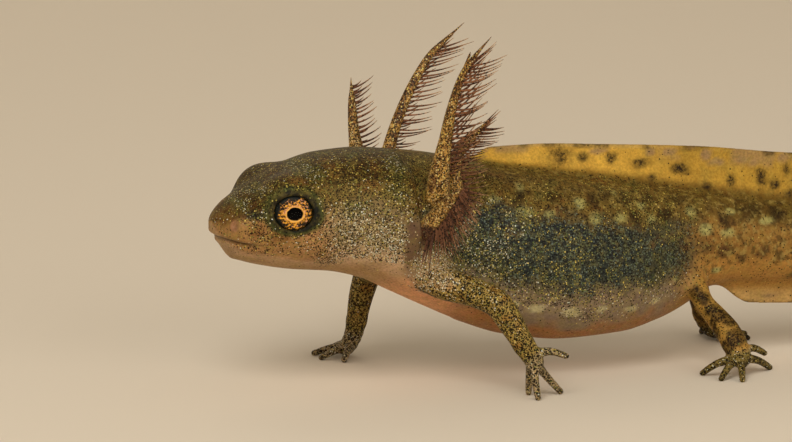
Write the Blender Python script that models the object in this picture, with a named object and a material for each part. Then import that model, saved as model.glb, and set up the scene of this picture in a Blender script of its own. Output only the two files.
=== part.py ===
"""Alpine newt larva, a still life-size model standing on its four feet.

Every size is in millimetres. x runs back from the tip of the snout, y is positive on the animal's
right, z is up from the floor. The last step turns millimetres into metres and puts the origin under
the middle of the whole animal.
"""

import math
import random

import bmesh
import bpy
import numpy as np
from mathutils import Matrix, Vector

MM = 0.001
GAP = 0.3            # clear space between neighbouring parts
LEFT, RIGHT = -1, 1  # sign of y on each side

# Body outline: distance behind the snout, half width, top, bottom
BODY = (
    (1.0, 2.00, 8.98, 6.24),
    (2.2, 2.55, 9.74, 5.92),
    (3.7, 2.90, 10.45, 5.64),
    (5.5, 3.20, 10.90, 5.46),
    (7.2, 3.60, 10.99, 5.03),
    (8.7, 3.90, 10.86, 4.31),
    (10.5, 3.42, 10.64, 3.44),
    (12.3, 3.15, 10.26, 2.63),
    (14.5, 3.30, 9.76, 1.90),
    (17.2, 3.45, 9.32, 1.54),
    (20.0, 3.10, 8.86, 1.66),
    (22.0, 2.50, 8.52, 2.12),
    (23.6, 2.00, 8.24, 2.62),
    (24.4, 1.80, 8.10, 3.55),
    (26.0, 1.60, 7.83, 3.66),
    (29.4, 1.40, 7.32, 3.52),
    (34.0, 1.15, 6.90, 3.80),
    (40.0, 0.80, 6.35, 4.30),
    (44.5, 0.50, 5.90, 4.70),
    (47.2, 0.28, 5.50, 4.95),
)
HEAD_SIDES = 28
TRUNK_SIDES = 24
TAIL_SIDES = 16
SNOUT_TIP = 0.12
SNOUT_HEIGHT = 7.95
SNOUT_BACK = 1.0       # the rounded end of the snout reaches back to here
SNOUT_WIDTH_POWER = 0.50
SNOUT_DEPTH_POWER = 0.62
SECTION_POWER = 0.87   # below 1 makes the cross-section squarer than an ellipse
SNOUT_SECTION_POWER = 1.02
SNOUT_LENGTH = 5.0     # the section eases from the snout's power to the body's over this
WIDEST = 0.48          # height of the widest line, as a share of the depth

HEAD_END = 8.7
TRUNK_START = HEAD_END + GAP
TRUNK_END = 24.2
TAIL_START = TRUNK_END + GAP
TAIL_END = 47.2
NECK_STEP = 0.35       # the neck starts narrower than the fold at the back of the head
NECK_STEP_LENGTH = 1.6
SWAY_START = 26.0      # the tail bends gently to the right from here
SWAY = 1.5
TIP = 49.0

# Mouth: height of the line where the lips meet, from the front to its corner
MOUTH = ((-0.1, 7.34), (0.9, 7.10), (2.8, 6.80))
MOUTH_CORNER = 2.75
GROOVE = 0.12
LIP = 0.20
LIP_RISE = 0.21
LIP_SINK = 0.09
JAW_SETBACK = 0.14     # the lower jaw starts this far behind the upper one
JAW_SETBACK_LENGTH = 2.0
LIP_STATIONS = (0.02, 0.08, 0.16, 0.26, 0.38, 0.52, 0.68, 0.84, 1.0)  # shares of the way to the corner
LIP_START = 0.05       # the lips' front lies this far behind the tip of the snout
LIP_CLOSE = 0.3        # points nearer to the middle than this are left to the front one
LIP_END_SHARE = 0.45   # the lips thin out at their corners
LIP_RINGS = 28
LIP_SIDES = 7

EYE = (3.20, 2.30, 8.60)
EYE_RADII = (0.98, 0.90, 0.94)
ORBIT = (3.27, 1.82, 8.80)
ORBIT_RADII = (1.40, 1.32, 1.45)
NOSTRIL = (0.62, 1.62, 8.02)
NOSTRIL_RADIUS = 0.18

# Fins: distance behind the snout, height of the free edge
DORSAL_EDGE = (
    (12.6, 10.71), (13.6, 10.72), (16.0, 10.74), (19.4, 10.56), (24.5, 10.20),
    (29.3, 9.64), (35.0, 9.30), (41.0, 8.60), (45.0, 7.75), (47.6, 6.75), (49.0, 5.45),
)
VENTRAL_EDGE = (
    (24.9, 3.00), (26.5, 2.60), (29.4, 2.38), (34.0, 2.15), (39.0, 2.45),
    (43.0, 3.15), (46.0, 3.95), (47.6, 4.45), (49.0, 5.05),
)
DORSAL_START = 12.4
VENTRAL_START = 24.9
DORSAL_RISE = 1.6      # length over which each fin rises from nothing at its front
VENTRAL_RISE = 2.6
FIN_STEP = 1.25
FIN_LEVELS = ((0.0, 0.40), (0.45, 0.30), (0.88, 0.26), (1.0, 0.14))  # share of height, half thickness
FIN_LEAST = 0.22
LOBE_STEP = 0.1
FIN_THIN_LENGTH = 3.0  # over the last of the tail the fins are thinner
FIN_THIN_SHARE = 0.75

# Legs: x, y, z and radius from the root to where the hand or foot starts, then the palm or sole
LEGS = {
    "foreleg_left": {
        "path": ((9.2, -1.9, 5.9, 0.90), (10.0, -3.4, 5.17, 0.78), (11.09, -4.3, 4.79, 0.66),
                 (11.97, -5.35, 4.36, 0.66), (12.51, -5.9, 3.39, 0.60), (12.95, -6.25, 2.5, 0.50)),
        "joint": 0.60, "names": ("upper_arm_left", "forearm_left", "hand_left"), "thin": (0.2, 1, 0),
        "palm": ((12.95, -6.25, 2.5, 0.50), (13.22, -6.38, 2.05, 0.50), (13.45, -6.45, 1.65, 0.44)),
        "digits": (
            ((13.4, -6.5, 2.1), (14.05, -6.75, 2.22), (14.72, -6.9, 1.98)),
            ((13.4, -6.4, 1.8), (14.12, -6.1, 0.95), (14.93, -5.8, 0.03)),
            ((13.3, -6.5, 1.7), (13.34, -6.68, 0.88), (13.42, -6.8, 0.03)),
            ((13.3, -6.3, 1.8), (13.35, -5.95, 0.95), (13.5, -5.5, 0.03)),
        ),
    },
    "foreleg_right": {
        "path": ((9.4, 1.9, 5.9, 0.90), (9.6, 3.3, 5.2, 0.78), (9.75, 4.6, 4.6, 0.66),
                 (9.98, 5.9, 4.1, 0.66), (9.78, 6.35, 2.9, 0.60), (9.62, 6.5, 1.75, 0.50)),
        "joint": 0.60, "names": ("upper_arm_right", "forearm_right", "hand_right"), "thin": (0, 0, 1),
        "palm": ((9.62, 6.5, 1.75, 0.50), (9.44, 6.55, 0.95, 0.48), (9.1, 6.6, 0.34, 0.46),
                 (8.7, 6.65, 0.20, 0.44)),
        "digits": (
            ((9.3, 6.4, 0.6), (8.85, 5.7, 0.42), (8.45, 5.1, 0.03)),
            ((9.1, 6.5, 0.45), (8.45, 6.3, 0.36), (7.68, 6.1, 0.03)),
            ((9.1, 6.65, 0.45), (8.45, 7.0, 0.36), (7.75, 7.3, 0.03)),
            ((9.3, 6.7, 0.6), (9.05, 7.4, 0.42), (8.8, 8.0, 0.03)),
        ),
    },
    "hind_leg_left": {
        "path": ((23.2, -0.7, 4.4, 0.70), (23.52, -1.9, 3.70, 0.50), (23.65, -2.5, 3.13, 0.46),
                 (24.0, -3.1, 2.55, 0.52), (24.25, -3.7, 2.02, 0.60), (24.38, -4.2, 1.55, 0.60)),
        "joint": 0.60, "names": ("thigh_left", "shank_left", "foot_left"), "thin": (0, 1, -0.3),
        "palm": ((24.38, -4.2, 1.55, 0.60), (24.44, -4.52, 1.15, 0.60), (24.5, -4.75, 0.78, 0.48)),
        "digits": (
            ((24.3, -4.7, 0.85), (23.45, -4.45, 0.62), (22.9, -4.0, 0.03)),
            ((24.3, -4.8, 0.85), (23.7, -5.2, 0.6), (23.15, -5.55, 0.03)),
            ((24.4, -4.9, 0.85), (24.2, -5.5, 0.55), (23.95, -6.15, 0.03)),
            ((24.6, -4.75, 0.85), (25.55, -4.4, 0.62), (26.45, -3.8, 0.03)),
            ((24.5, -4.6, 1.1), (25.35, -4.25, 1.2), (26.1, -3.95, 0.82)),
        ),
    },
    "hind_leg_right": {
        "path": ((23.3, 0.7, 4.5, 0.90), (24.0, 1.9, 4.2, 0.80), (24.9, 2.9, 3.85, 0.70),
                 (25.9, 3.75, 3.2, 0.62), (26.4, 4.05, 2.2, 0.55), (26.65, 4.2, 1.35, 0.48)),
        "joint": 0.60, "names": ("thigh_right", "shank_right", "foot_right"), "thin": (0, 0, 1),
        "palm": ((26.65, 4.2, 1.35, 0.48), (26.95, 4.3, 0.72, 0.48), (27.35, 4.38, 0.32, 0.47),
                 (27.8, 4.45, 0.20, 0.45)),
        "digits": (
            ((27.1, 4.2, 0.5), (27.35, 3.5, 0.36), (27.7, 2.9, 0.03)),
            ((27.2, 4.3, 0.45), (28.0, 3.85, 0.34), (28.75, 3.55, 0.03)),
            ((27.2, 4.4, 0.45), (28.2, 4.5, 0.34), (29.1, 4.6, 0.03)),
            ((27.2, 4.5, 0.45), (27.95, 5.15, 0.34), (28.6, 5.6, 0.03)),
            ((27.1, 4.6, 0.5), (27.25, 5.3, 0.36), (27.4, 5.95, 0.03)),
        ),
    },
}
DIGIT_ROOT = 0.27
DIGIT_TIP = 0.17
PALM_FLATTEN = 0.62
FLOOR_CUT = 2.0
FLOOR_CORNERS = ((-5, -15), (55, -15), (55, 15), (-5, 15))
LIMB_SIDES = 10
DIGIT_SIDES = 6

# Gills: x, y, z and radius of the stalk, where its filaments start and end on it and how many each of
# the two rows holds, their lengths at the start and the end, the angle of each row to the way they lie,
# how far they curl towards the end of the stalk as a share of their length, and the ways they lie at the
# start and the end
GILLS = {
    "gill_left_upper": {
        "path": ((9.7, -2.3, 7.9, 0.80), (9.75, -3.5, 8.95, 0.62), (9.72, -4.0, 10.3, 0.48),
                 (9.80, -4.5, 11.8, 0.33), (9.83, -5.2, 13.4, 0.24), (10.13, -5.75, 14.95, 0.17),
                 (10.6, -6.25, 15.9, 0.11), (11.15, -6.65, 16.7, 0.06)),
        "fork": ((10.03, -5.6, 14.6, 0.14), (10.2, -5.95, 15.35, 0.10), (10.3, -6.25, 16.0, 0.06)),
        "rows": (0.38, 0.77, 8), "lengths": (1.8, 1.5), "spread": 0.5, "curl": 0.30,
        "lies": ((1.0, -0.25, 0.22), (1.0, -0.25, 0.26)),
    },
    "gill_left_middle": {
        "path": ((10.3, -1.9, 7.8, 0.70), (10.7, -3.05, 8.9, 0.50), (10.65, -3.25, 10.2, 0.38),
                 (10.95, -3.4, 11.2, 0.28), (11.5, -3.65, 11.85, 0.18), (12.05, -4.0, 12.5, 0.07)),
        "rows": (0.42, 0.86, 5), "lengths": (1.4, 1.1), "spread": 0.5, "curl": 0.16,
        "lies": ((1.0, 0.1, -0.1), (1.0, -0.1, 0.30)),
    },
    "gill_left_lower": {
        "path": ((9.5, -2.2, 7.0, 0.75), (9.32, -3.8, 7.7, 0.58), (9.45, -4.7, 8.5, 0.42),
                 (9.7, -5.5, 9.25, 0.26), (9.95, -6.3, 9.9, 0.03)),
        "rows": (0.40, 0.92, 6), "lengths": (2.5, 1.5), "spread": 0.4, "curl": 0.05,
        "lies": ((0.05, 0.0, -1.0), (0.8, 0.0, -0.6)),
    },
    "gill_right_upper": {
        "path": ((9.5, 1.9, 8.0, 0.80), (9.68, 2.7, 9.3, 0.50), (9.93, 2.95, 10.52, 0.33),
                 (10.55, 3.22, 12.0, 0.27), (11.32, 3.45, 13.39, 0.23), (12.22, 3.65, 14.62, 0.18),
                 (13.15, 3.9, 15.33, 0.12), (14.17, 4.2, 16.03, 0.06)),
        "rows": (0.36, 0.77, 9), "lengths": (1.8, 1.6), "spread": 0.5, "curl": 0.12,
        "lies": ((1.0, 0.3, -0.12), (1.0, 0.3, 0.22)),
    },
    "gill_right_middle": {
        "path": ((9.5, 2.3, 7.6, 0.70), (9.3, 3.8, 8.5, 0.56), (9.1, 4.7, 9.6, 0.42),
                 (9.1, 5.4, 10.8, 0.30), (9.25, 6.1, 12.05, 0.21), (9.42, 6.7, 13.35, 0.07)),
        "rows": (0.42, 0.88, 6), "lengths": (1.4, 1.2), "spread": 0.5, "curl": 0.16,
        "lies": ((1.0, 0.2, -0.1), (1.0, 0.2, 0.25)),
    },
    "gill_right_lower": {
        "path": ((9.6, 2.2, 6.7, 0.75), (9.6, 3.7, 7.1, 0.58), (9.9, 4.8, 7.7, 0.43),
                 (10.3, 5.8, 8.4, 0.28), (10.8, 6.8, 9.0, 0.03)),
        "rows": (0.42, 0.90, 6), "lengths": (2.2, 1.4), "spread": 0.4, "curl": 0.05,
        "lies": ((0.1, 0.0, -1.0), (0.8, 0.0, -0.6)),
    },
}
FILAMENT_ROOT = 0.24
FILAMENT_TIP = 0.07
FILAMENT_VARIATION = 0.12
FILAMENT_MIDDLE = 0.55     # share of its length at which a filament's middle point lies
FILAMENT_EARLY_CURL = 0.2  # share of the curl that is reached there
STALK_SIDES = 8
STALK_RINGS = 10
FORK_SIDES = 5
FILAMENT_SIDES = 4

FLESH = {
    "head": (0.20, 0.16, 0.07), "trunk": (0.16, 0.15, 0.08), "tail": (0.38, 0.25, 0.09),
    "fin": (0.55, 0.40, 0.10), "limb": (0.33, 0.27, 0.09), "gill": (0.42, 0.18, 0.08),
    "eye": (0.62, 0.36, 0.08),
}


def clear_scene():
    for item in list(bpy.data.objects):
        bpy.data.objects.remove(item, do_unlink=True)


def smooth(table, at, column=1):
    """Value of a column at a distance, on a curve through the table that never overshoots."""
    xs = np.array([row[0] for row in table])
    ys = np.array([row[column] for row in table])
    steps = np.diff(xs)
    slopes = np.diff(ys) / steps
    ends = np.concatenate(([slopes[0]], np.zeros(len(xs) - 2), [slopes[-1]]))
    same_way = slopes[:-1] * slopes[1:] > 0
    mean = 2 * slopes[:-1] * slopes[1:] / np.where(same_way, slopes[:-1] + slopes[1:], 1)
    ends[1:-1] = np.where(same_way, mean, 0)
    at = min(max(at, xs[0]), xs[-1])
    k = min(int(np.searchsorted(xs, at, side="right")) - 1, len(steps) - 1)
    u = (at - xs[k]) / steps[k]
    start = ys[k] * (1 + 2 * u) * (1 - u) ** 2 + steps[k] * ends[k] * u * (1 - u) ** 2
    return float(start + ys[k + 1] * u * u * (3 - 2 * u) + steps[k] * ends[k + 1] * u * u * (u - 1))


def sway(x):
    return SWAY * (max(0.0, x - SWAY_START) / (TIP - SWAY_START)) ** 2


def body_section(x):
    """Half width, top and bottom of the body at x."""
    if x >= SNOUT_BACK:
        width, top, bottom = (smooth(BODY, x, column) for column in (1, 2, 3))
        neck = (x - HEAD_END) / NECK_STEP_LENGTH
        if 0 < neck < 1:
            width -= NECK_STEP * (1 - neck) ** 2
        return width, top, bottom
    _, full_width, full_top, full_bottom = BODY[0]
    share = max(0.0, (x - SNOUT_TIP) / (SNOUT_BACK - SNOUT_TIP))
    width = full_width * share ** SNOUT_WIDTH_POWER
    top = SNOUT_HEIGHT + (full_top - SNOUT_HEIGHT) * share ** SNOUT_DEPTH_POWER
    bottom = SNOUT_HEIGHT + (full_bottom - SNOUT_HEIGHT) * share ** SNOUT_DEPTH_POWER
    return width, top, bottom


def section_power(x):
    return SECTION_POWER + (SNOUT_SECTION_POWER - SECTION_POWER) * max(0.0, 1 - x / SNOUT_LENGTH)


def jaw_shift(x, z):
    """How far back a point of the lower jaw lies."""
    if z > smooth(MOUTH, x):
        return 0.0
    return JAW_SETBACK * max(0.0, 1 - x / JAW_SETBACK_LENGTH)


def body_ring(x, count, grow=0.0):
    width, top, bottom = body_section(x)
    middle = bottom + WIDEST * (top - bottom)
    power = section_power(x)
    ring = []
    for k in range(count):
        angle = 2 * math.pi * k / count
        side = math.copysign(abs(math.cos(angle)) ** power, math.cos(angle))
        lift = math.copysign(abs(math.sin(angle)) ** power, math.sin(angle))
        height = (top - middle if lift > 0 else middle - bottom) + grow
        z = middle + height * lift
        ring.append((x + jaw_shift(x, z), sway(x) + (width + grow) * side, z))
    return ring


def body_side(x, z):
    """Half width of the body's surface at a distance and a height."""
    width, top, bottom = body_section(x)
    middle = bottom + WIDEST * (top - bottom)
    reach = (z - middle) / (top - middle) if z > middle else (middle - z) / (middle - bottom)
    power = section_power(x)
    return width * max(0.0, 1 - min(reach, 1) ** (2 / power)) ** (power / 2)


def make_object(name, points, faces):
    mesh = bpy.data.meshes.new(name)
    mesh.from_pydata([tuple(p) for p in points], [], faces)
    mesh.validate()
    item = bpy.data.objects.new(name, mesh)
    bpy.context.collection.objects.link(item)
    return item


def loft(name, rings):
    """Closed solid through rings of points. A ring of one point is a pointed end."""
    points = []
    faces = []
    previous = None
    for ring in rings:
        start = len(points)
        points.extend(ring)
        indices = list(range(start, start + len(ring)))
        if previous:
            faces.extend(joined_rings(previous, indices))
        previous = indices
    if len(rings[0]) > 1:
        faces.append(tuple(range(len(rings[0]))))
    if len(previous) > 1:
        faces.append(tuple(reversed(previous)))
    item = make_object(name, points, faces)
    outward(item)
    return item


def joined_rings(first, second):
    count = max(len(first), len(second))
    faces = []
    for k in range(count):
        after = (k + 1) % count
        if len(first) == 1:
            faces.append((first[0], second[after], second[k]))
        elif len(second) == 1:
            faces.append((first[k], first[after], second[0]))
        else:
            faces.append((first[k], first[after], second[after], second[k]))
    return faces


def outward(item):
    """Turns a closed mesh's faces so that they all point out."""
    work = bmesh.new()
    work.from_mesh(item.data)
    bmesh.ops.recalc_face_normals(work, faces=work.faces)
    if work.calc_volume(signed=True) < 0:
        bmesh.ops.reverse_faces(work, faces=work.faces)
    work.to_mesh(item.data)
    work.free()


def ball(name, centre, radii, segments=16):
    """Ellipsoid made of rings round the y axis."""
    rings = []
    for k in range(segments // 2 + 1):
        polar = math.pi * k / (segments // 2)
        y = centre[1] - radii[1] * math.cos(polar)
        if k in (0, segments // 2):
            rings.append([(centre[0], y, centre[2])])
            continue
        ring = []
        for j in range(segments):
            turn = 2 * math.pi * (j + 0.5) / segments
            ring.append((centre[0] + radii[0] * math.sin(polar) * math.cos(turn), y,
                         centre[2] + radii[2] * math.sin(polar) * math.sin(turn)))
        rings.append(ring)
    return loft(name, rings)


class Path:
    """A smooth curve through points, with a radius that changes along it."""

    def __init__(self, points, radii):
        self.points = [Vector(p) for p in points]
        self.radii = list(radii)

    def _spread(self, t):
        spans = len(self.points) - 1
        place = min(max(t, 0.0), 1.0) * spans
        k = min(int(place), spans - 1)
        return k, place - k

    def point(self, t):
        k, u = self._spread(t)
        last = len(self.points) - 1
        a, b, c, d = (self.points[min(max(k + j, 0), last)] for j in (-1, 0, 1, 2))
        return (2 * b + (c - a) * u + (2 * a - 5 * b + 4 * c - d) * u * u
                + (3 * b - a - 3 * c + d) * u ** 3) / 2

    def radius(self, t):
        k, u = self._spread(t)
        return self.radii[k] + (self.radii[k + 1] - self.radii[k]) * u

    def travel(self, t, distance):
        """Place on the curve that lies a distance further on, or back, from t."""
        step = math.copysign(0.001, distance)
        gone = 0.0
        while gone < abs(distance):
            gone += (self.point(t + step) - self.point(t)).length
            t += step
        return t

    def direction(self, t, step=0.02):
        return (self.point(min(t + step, 1)) - self.point(max(t - step, 0))).normalized()


def stalk(path):
    """Path whose rows are x, y, z and radius."""
    return Path([row[:3] for row in path], [row[3] for row in path])


def ring_round(centre, direction, radius, sides, flatten=1.0, thin=(0, 0, 1)):
    """Ring of points across a direction, flattened along its thin direction."""
    up = Vector(thin) - direction * direction.dot(thin)
    if up.length < 0.05:
        up = Vector((1, 0, 0)) - direction * direction.x
    up.normalize()
    across = direction.cross(up)
    ring = []
    for k in range(sides):
        angle = 2 * math.pi * (k + 0.5) / sides
        ring.append(centre + across * (radius * math.cos(angle)) + up * (radius * flatten * math.sin(angle)))
    return ring


def tube(name, path, start, end, rings, sides, flatten=1.0, round_end=False, ends=None, thin=(0, 0, 1)):
    """Solid tube along part of a path. ends gives the directions across which it starts and stops."""
    loops = []
    for k in range(rings + 1):
        t = start + (end - start) * k / rings
        direction = path.direction(t)
        if ends and k == 0 and ends[0]:
            direction = ends[0]
        if ends and k == rings and ends[1]:
            direction = ends[1]
        loops.append(ring_round(path.point(t), direction, path.radius(t), sides, flatten, thin))
    if round_end:
        tip = path.point(end)
        direction = path.direction(end)
        radius = path.radius(end)
        loops.append(ring_round(tip + direction * radius * 0.6, direction, radius * 0.7, sides, flatten,
                                thin))
        loops.append([tip + direction * radius])
    return loft(name, loops)


def applied(item, operation, others, solver="EXACT"):
    """Runs one Boolean with a collection of other solids, which are then removed."""
    group = bpy.data.collections.new(item.name + "_operands")
    for other in others:
        group.objects.link(other)
    change = item.modifiers.new("boolean", "BOOLEAN")
    change.operation = operation
    change.solver = solver
    change.operand_type = "COLLECTION"
    change.collection = group
    graph = bpy.context.evaluated_depsgraph_get()
    graph.update()
    mesh = bpy.data.meshes.new_from_object(item.evaluated_get(graph))
    item.modifiers.clear()
    item.data = mesh
    for other in list(group.objects):
        bpy.data.objects.remove(other, do_unlink=True)
    bpy.data.collections.remove(group)
    keep_largest(item)
    return item


def keep_largest(item):
    """Keeps the closed surface that holds the most volume."""
    work = bmesh.new()
    work.from_mesh(item.data)
    bmesh.ops.triangulate(work, faces=work.faces)
    unseen = set(work.faces)
    shells = []
    while unseen:
        shell = set()
        edge_of = [unseen.pop()]
        while edge_of:
            face = edge_of.pop()
            shell.add(face)
            for edge in face.edges:
                for other in edge.link_faces:
                    if other in unseen:
                        unseen.discard(other)
                        edge_of.append(other)
        shells.append(shell)
    shells.sort(key=shell_volume)
    for shell in shells[:-1]:
        bmesh.ops.delete(work, geom=list(shell), context="FACES")
    loose = [v for v in work.verts if not v.link_faces]
    bmesh.ops.delete(work, geom=loose, context="VERTS")
    work.to_mesh(item.data)
    work.free()


def shell_volume(shell):
    total = 0.0
    for face in shell:
        a, b, c = (v.co for v in face.verts)
        total += a.dot(b.cross(c)) / 6
    return abs(total)


def spaced(start, end, count):
    return [start + (end - start) * k / count for k in range(count + 1)]


def body_length(name, start, end, count, sides, grow=0.0):
    return loft(name, [body_ring(x, sides, grow) for x in spaced(start, end, count)])


def mouth_path(rise=0.0, sink=0.0):
    """Points along the mouth line, on the skin or a little inside it, from corner to corner."""
    half = []
    for share in LIP_STATIONS:
        x = SNOUT_TIP + (MOUTH_CORNER - SNOUT_TIP) * share ** 1.6 + LIP_START
        z = smooth(MOUTH, x) + rise
        y = max(body_side(x, z) - sink, 0.0)
        half.append((x + sink + jaw_shift(x, z), y, z))
    front = (half[0][0], 0.0, half[0][2])
    left = [(x, -y, z) for x, y, z in reversed(half) if y > LIP_CLOSE]
    right = [(x, y, z) for x, y, z in half if y > LIP_CLOSE]
    return left + [front] + right


def lip(name, rise, radius):
    points = mouth_path(rise, LIP_SINK)
    radii = [radius] * len(points)
    radii[0] *= LIP_END_SHARE
    radii[-1] *= LIP_END_SHARE
    return tube(name, Path(points, radii), 0, 1, LIP_RINGS, LIP_SIDES)


def make_head():
    front = [[(SNOUT_TIP, 0, SNOUT_HEIGHT)]]
    for share in (0.03, 0.12, 0.27, 0.5, 0.75):
        x = SNOUT_TIP + (SNOUT_BACK - SNOUT_TIP) * share
        front.append(body_ring(x, HEAD_SIDES))
    rings = front + [body_ring(x, HEAD_SIDES) for x in spaced(SNOUT_BACK, HEAD_END, 13)]
    head = loft("head", rings)
    additions = [lip("upper_lip", LIP_RISE, LIP), lip("lower_lip", -LIP_RISE, LIP)]
    for side in (LEFT, RIGHT):
        additions.append(ball("orbit", mirrored(ORBIT, side), ORBIT_RADII, 18))
    applied(head, "UNION", additions)
    socket = [r + GAP for r in EYE_RADII]
    groove_points = mouth_path()
    groove = tube("groove", Path(groove_points, [GROOVE] * len(groove_points)), 0, 1, LIP_RINGS, 5)
    cuts = [groove]
    for side in (LEFT, RIGHT):
        cuts.append(ball("socket", mirrored(EYE, side), socket, 16))
        cuts.append(ball("nostril", mirrored(NOSTRIL, side), [NOSTRIL_RADIUS] * 3, 8))
    applied(head, "DIFFERENCE", cuts)
    return head


def mirrored(point, side):
    return (point[0], side * point[1], point[2])


def make_fin(name, edge, stations, root_of, rise_length):
    """Thin upright fin between a root line and its free edge, split alike on both faces."""
    start = stations[0]
    count = len(stations) - 1
    points = []
    for x in stations:
        root = root_of(x)
        rise = min(1.0, max(0.0, (x - start) / rise_length))
        height = (smooth(edge, x) - root) * math.sin(rise * math.pi / 2)
        if abs(height) < FIN_LEAST:
            height = math.copysign(FIN_LEAST, smooth(edge, x) - root)
        thin = 1.0 if x < TAIL_END - FIN_THIN_LENGTH else FIN_THIN_SHARE
        for side in (LEFT, RIGHT):
            for share, half in FIN_LEVELS:
                points.append((x, sway(x) + side * half * thin, root + share * height))
    levels = len(FIN_LEVELS)
    row = 2 * levels
    faces = []
    for i in range(count):
        a, b = i * row, (i + 1) * row
        for j in range(levels - 1):
            for side in (0, levels):
                faces.append((a + side + j, b + side + j, b + side + j + 1))
                faces.append((a + side + j, b + side + j + 1, a + side + j + 1))
        for j in (0, levels - 1):
            faces.append((a + j, b + j, b + levels + j))
            faces.append((a + j, b + levels + j, a + levels + j))
    for i in (0, count):
        a = i * row
        for j in range(levels - 1):
            faces.append((a + j, a + j + 1, a + levels + j + 1))
            faces.append((a + j, a + levels + j + 1, a + levels + j))
    item = make_object(name, points, faces)
    outward(item)
    return item


def dorsal_root(x):
    """Just above the back, and down behind the end of the tail's flesh."""
    if x > TAIL_END + GAP:
        return smooth(VENTRAL_EDGE, x)
    return body_section(x)[1] + GAP


def ventral_root(x):
    return body_section(x)[2] - GAP


def fin_stations(start, end):
    return spaced(start, end, round((end - start) / FIN_STEP))


def make_leg(spec):
    """Upper and lower length of a leg, and its hand or foot with the digits fused on."""
    path = stalk(spec["path"])
    joint = spec["joint"]
    bend = path.direction(joint)
    wrist = path.direction(1.0)
    upper_name, lower_name, end_name = spec["names"]
    upper_end = path.travel(joint, -GAP / 2)
    lower_start = path.travel(joint, GAP / 2)
    lower_end = path.travel(1.0, -GAP)
    upper = tube(upper_name, path, 0, upper_end, 6, LIMB_SIDES, ends=(None, bend))
    lower = tube(lower_name, path, lower_start, lower_end, 5, LIMB_SIDES, ends=(bend, wrist))
    body = [body_length("grown_trunk", TRUNK_START - 1, TRUNK_END + 2, 16, TRUNK_SIDES, GAP)]
    applied(upper, "DIFFERENCE", body)
    palm_path = stalk(spec["palm"])
    palm = tube(end_name, palm_path, 0, 1, 4, LIMB_SIDES, PALM_FLATTEN, True, (wrist, None), spec["thin"])
    digits = []
    for digit in spec["digits"]:
        radii = [DIGIT_ROOT, (DIGIT_ROOT + DIGIT_TIP) / 2, DIGIT_TIP]
        digits.append(tube("digit", Path(digit, radii), 0, 1, 4, DIGIT_SIDES, 1.0, True))
    applied(palm, "UNION", digits)
    press_on_floor(palm)
    return [upper, lower, palm]


def press_on_floor(item):
    """Cuts away what would reach below the floor, which leaves small flats."""
    low = [(x, y, -FLOOR_CUT) for x, y in FLOOR_CORNERS]
    high = [(x, y, 0.0) for x, y in FLOOR_CORNERS]
    applied(item, "DIFFERENCE", [loft("floor", [low, high])])


def filament(path, t, share, length, turn, spec):
    """One tapered gill filament, rooted inside the stalk and curling towards its end."""
    first, last = (Vector(lie) for lie in spec["lies"])
    lie = first.lerp(last, share).normalized()
    spread = spec["spread"]
    along = path.direction(t)
    across = along.cross(lie).normalized()
    way = lie * math.cos(spread) + across * (turn * math.sin(spread))
    root = path.point(t)
    curl = spec["curl"] * length
    middle = root + way * length * FILAMENT_MIDDLE + along * curl * FILAMENT_EARLY_CURL
    tip = root + way * length + along * curl
    radii = (FILAMENT_ROOT, (FILAMENT_ROOT + FILAMENT_TIP) / 2, FILAMENT_TIP)
    return tube("filament", Path((root, middle, tip), radii), 0, 1, 3, FILAMENT_SIDES)


def make_gill(name, spec, earlier, rng):
    """Gill stalk with its filaments, clear of the body and of the stalks made before it."""
    path = stalk(spec["path"])
    gill = tube(name, path, 0, 1, STALK_RINGS, STALK_SIDES, 1.0, True)
    pieces = []
    if "fork" in spec:
        pieces.append(tube("fork", stalk(spec["fork"]), 0, 1, 3, FORK_SIDES))
    start, end, count = spec["rows"]
    first, last = spec["lengths"]
    for k in range(count):
        for turn in (LEFT, RIGHT):
            t = start + (end - start) * (k + 0.25 * turn) / (count - 1)
            share = k / (count - 1)
            length = (first + (last - first) * share) * (1 + rng.uniform(-1, 1) * FILAMENT_VARIATION)
            pieces.append(filament(path, t, share, length, turn, spec))
    applied(gill, "UNION", pieces)
    neighbours = [
        body_length("grown_trunk", TRUNK_START - 0.4, TRUNK_END, 14, TRUNK_SIDES, GAP),
        body_length("grown_head", HEAD_END - 4, HEAD_END + GAP, 6, HEAD_SIDES, GAP),
    ]
    for other in earlier:
        grown = [(x, y, z, radius + GAP) for x, y, z, radius in GILLS[other]["path"]]
        neighbours.append(tube("grown_stalk", stalk(grown), 0, 1, STALK_RINGS, STALK_SIDES))
    applied(gill, "DIFFERENCE", neighbours)
    return gill


def finish(item, colour, roughness=0.4):
    """Gives a part its material and turns its millimetres into metres."""
    item.data.transform(Matrix.Scale(MM, 4))
    material = bpy.data.materials.new(item.name)
    material.use_nodes = True
    shader = material.node_tree.nodes["Principled BSDF"]
    shader.inputs["Base Color"].default_value = (*colour, 1)
    shader.inputs["Roughness"].default_value = roughness
    shader.inputs["Metallic"].default_value = 0
    item.data.materials.clear()
    item.data.materials.append(material)
    item.data.shade_smooth()
    item.data.set_sharp_from_angle(angle=math.radians(40))


def centre_all(items):
    """Moves the whole animal so that the origin is under the middle of its box, on the floor."""
    corners = np.array([v.co[:] for item in items for v in item.data.vertices])
    low, high = corners.min(axis=0), corners.max(axis=0)
    middle = Vector(((low[0] + high[0]) / 2, (low[1] + high[1]) / 2, low[2]))
    for item in items:
        item.data.transform(Matrix.Translation(-middle))


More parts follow.
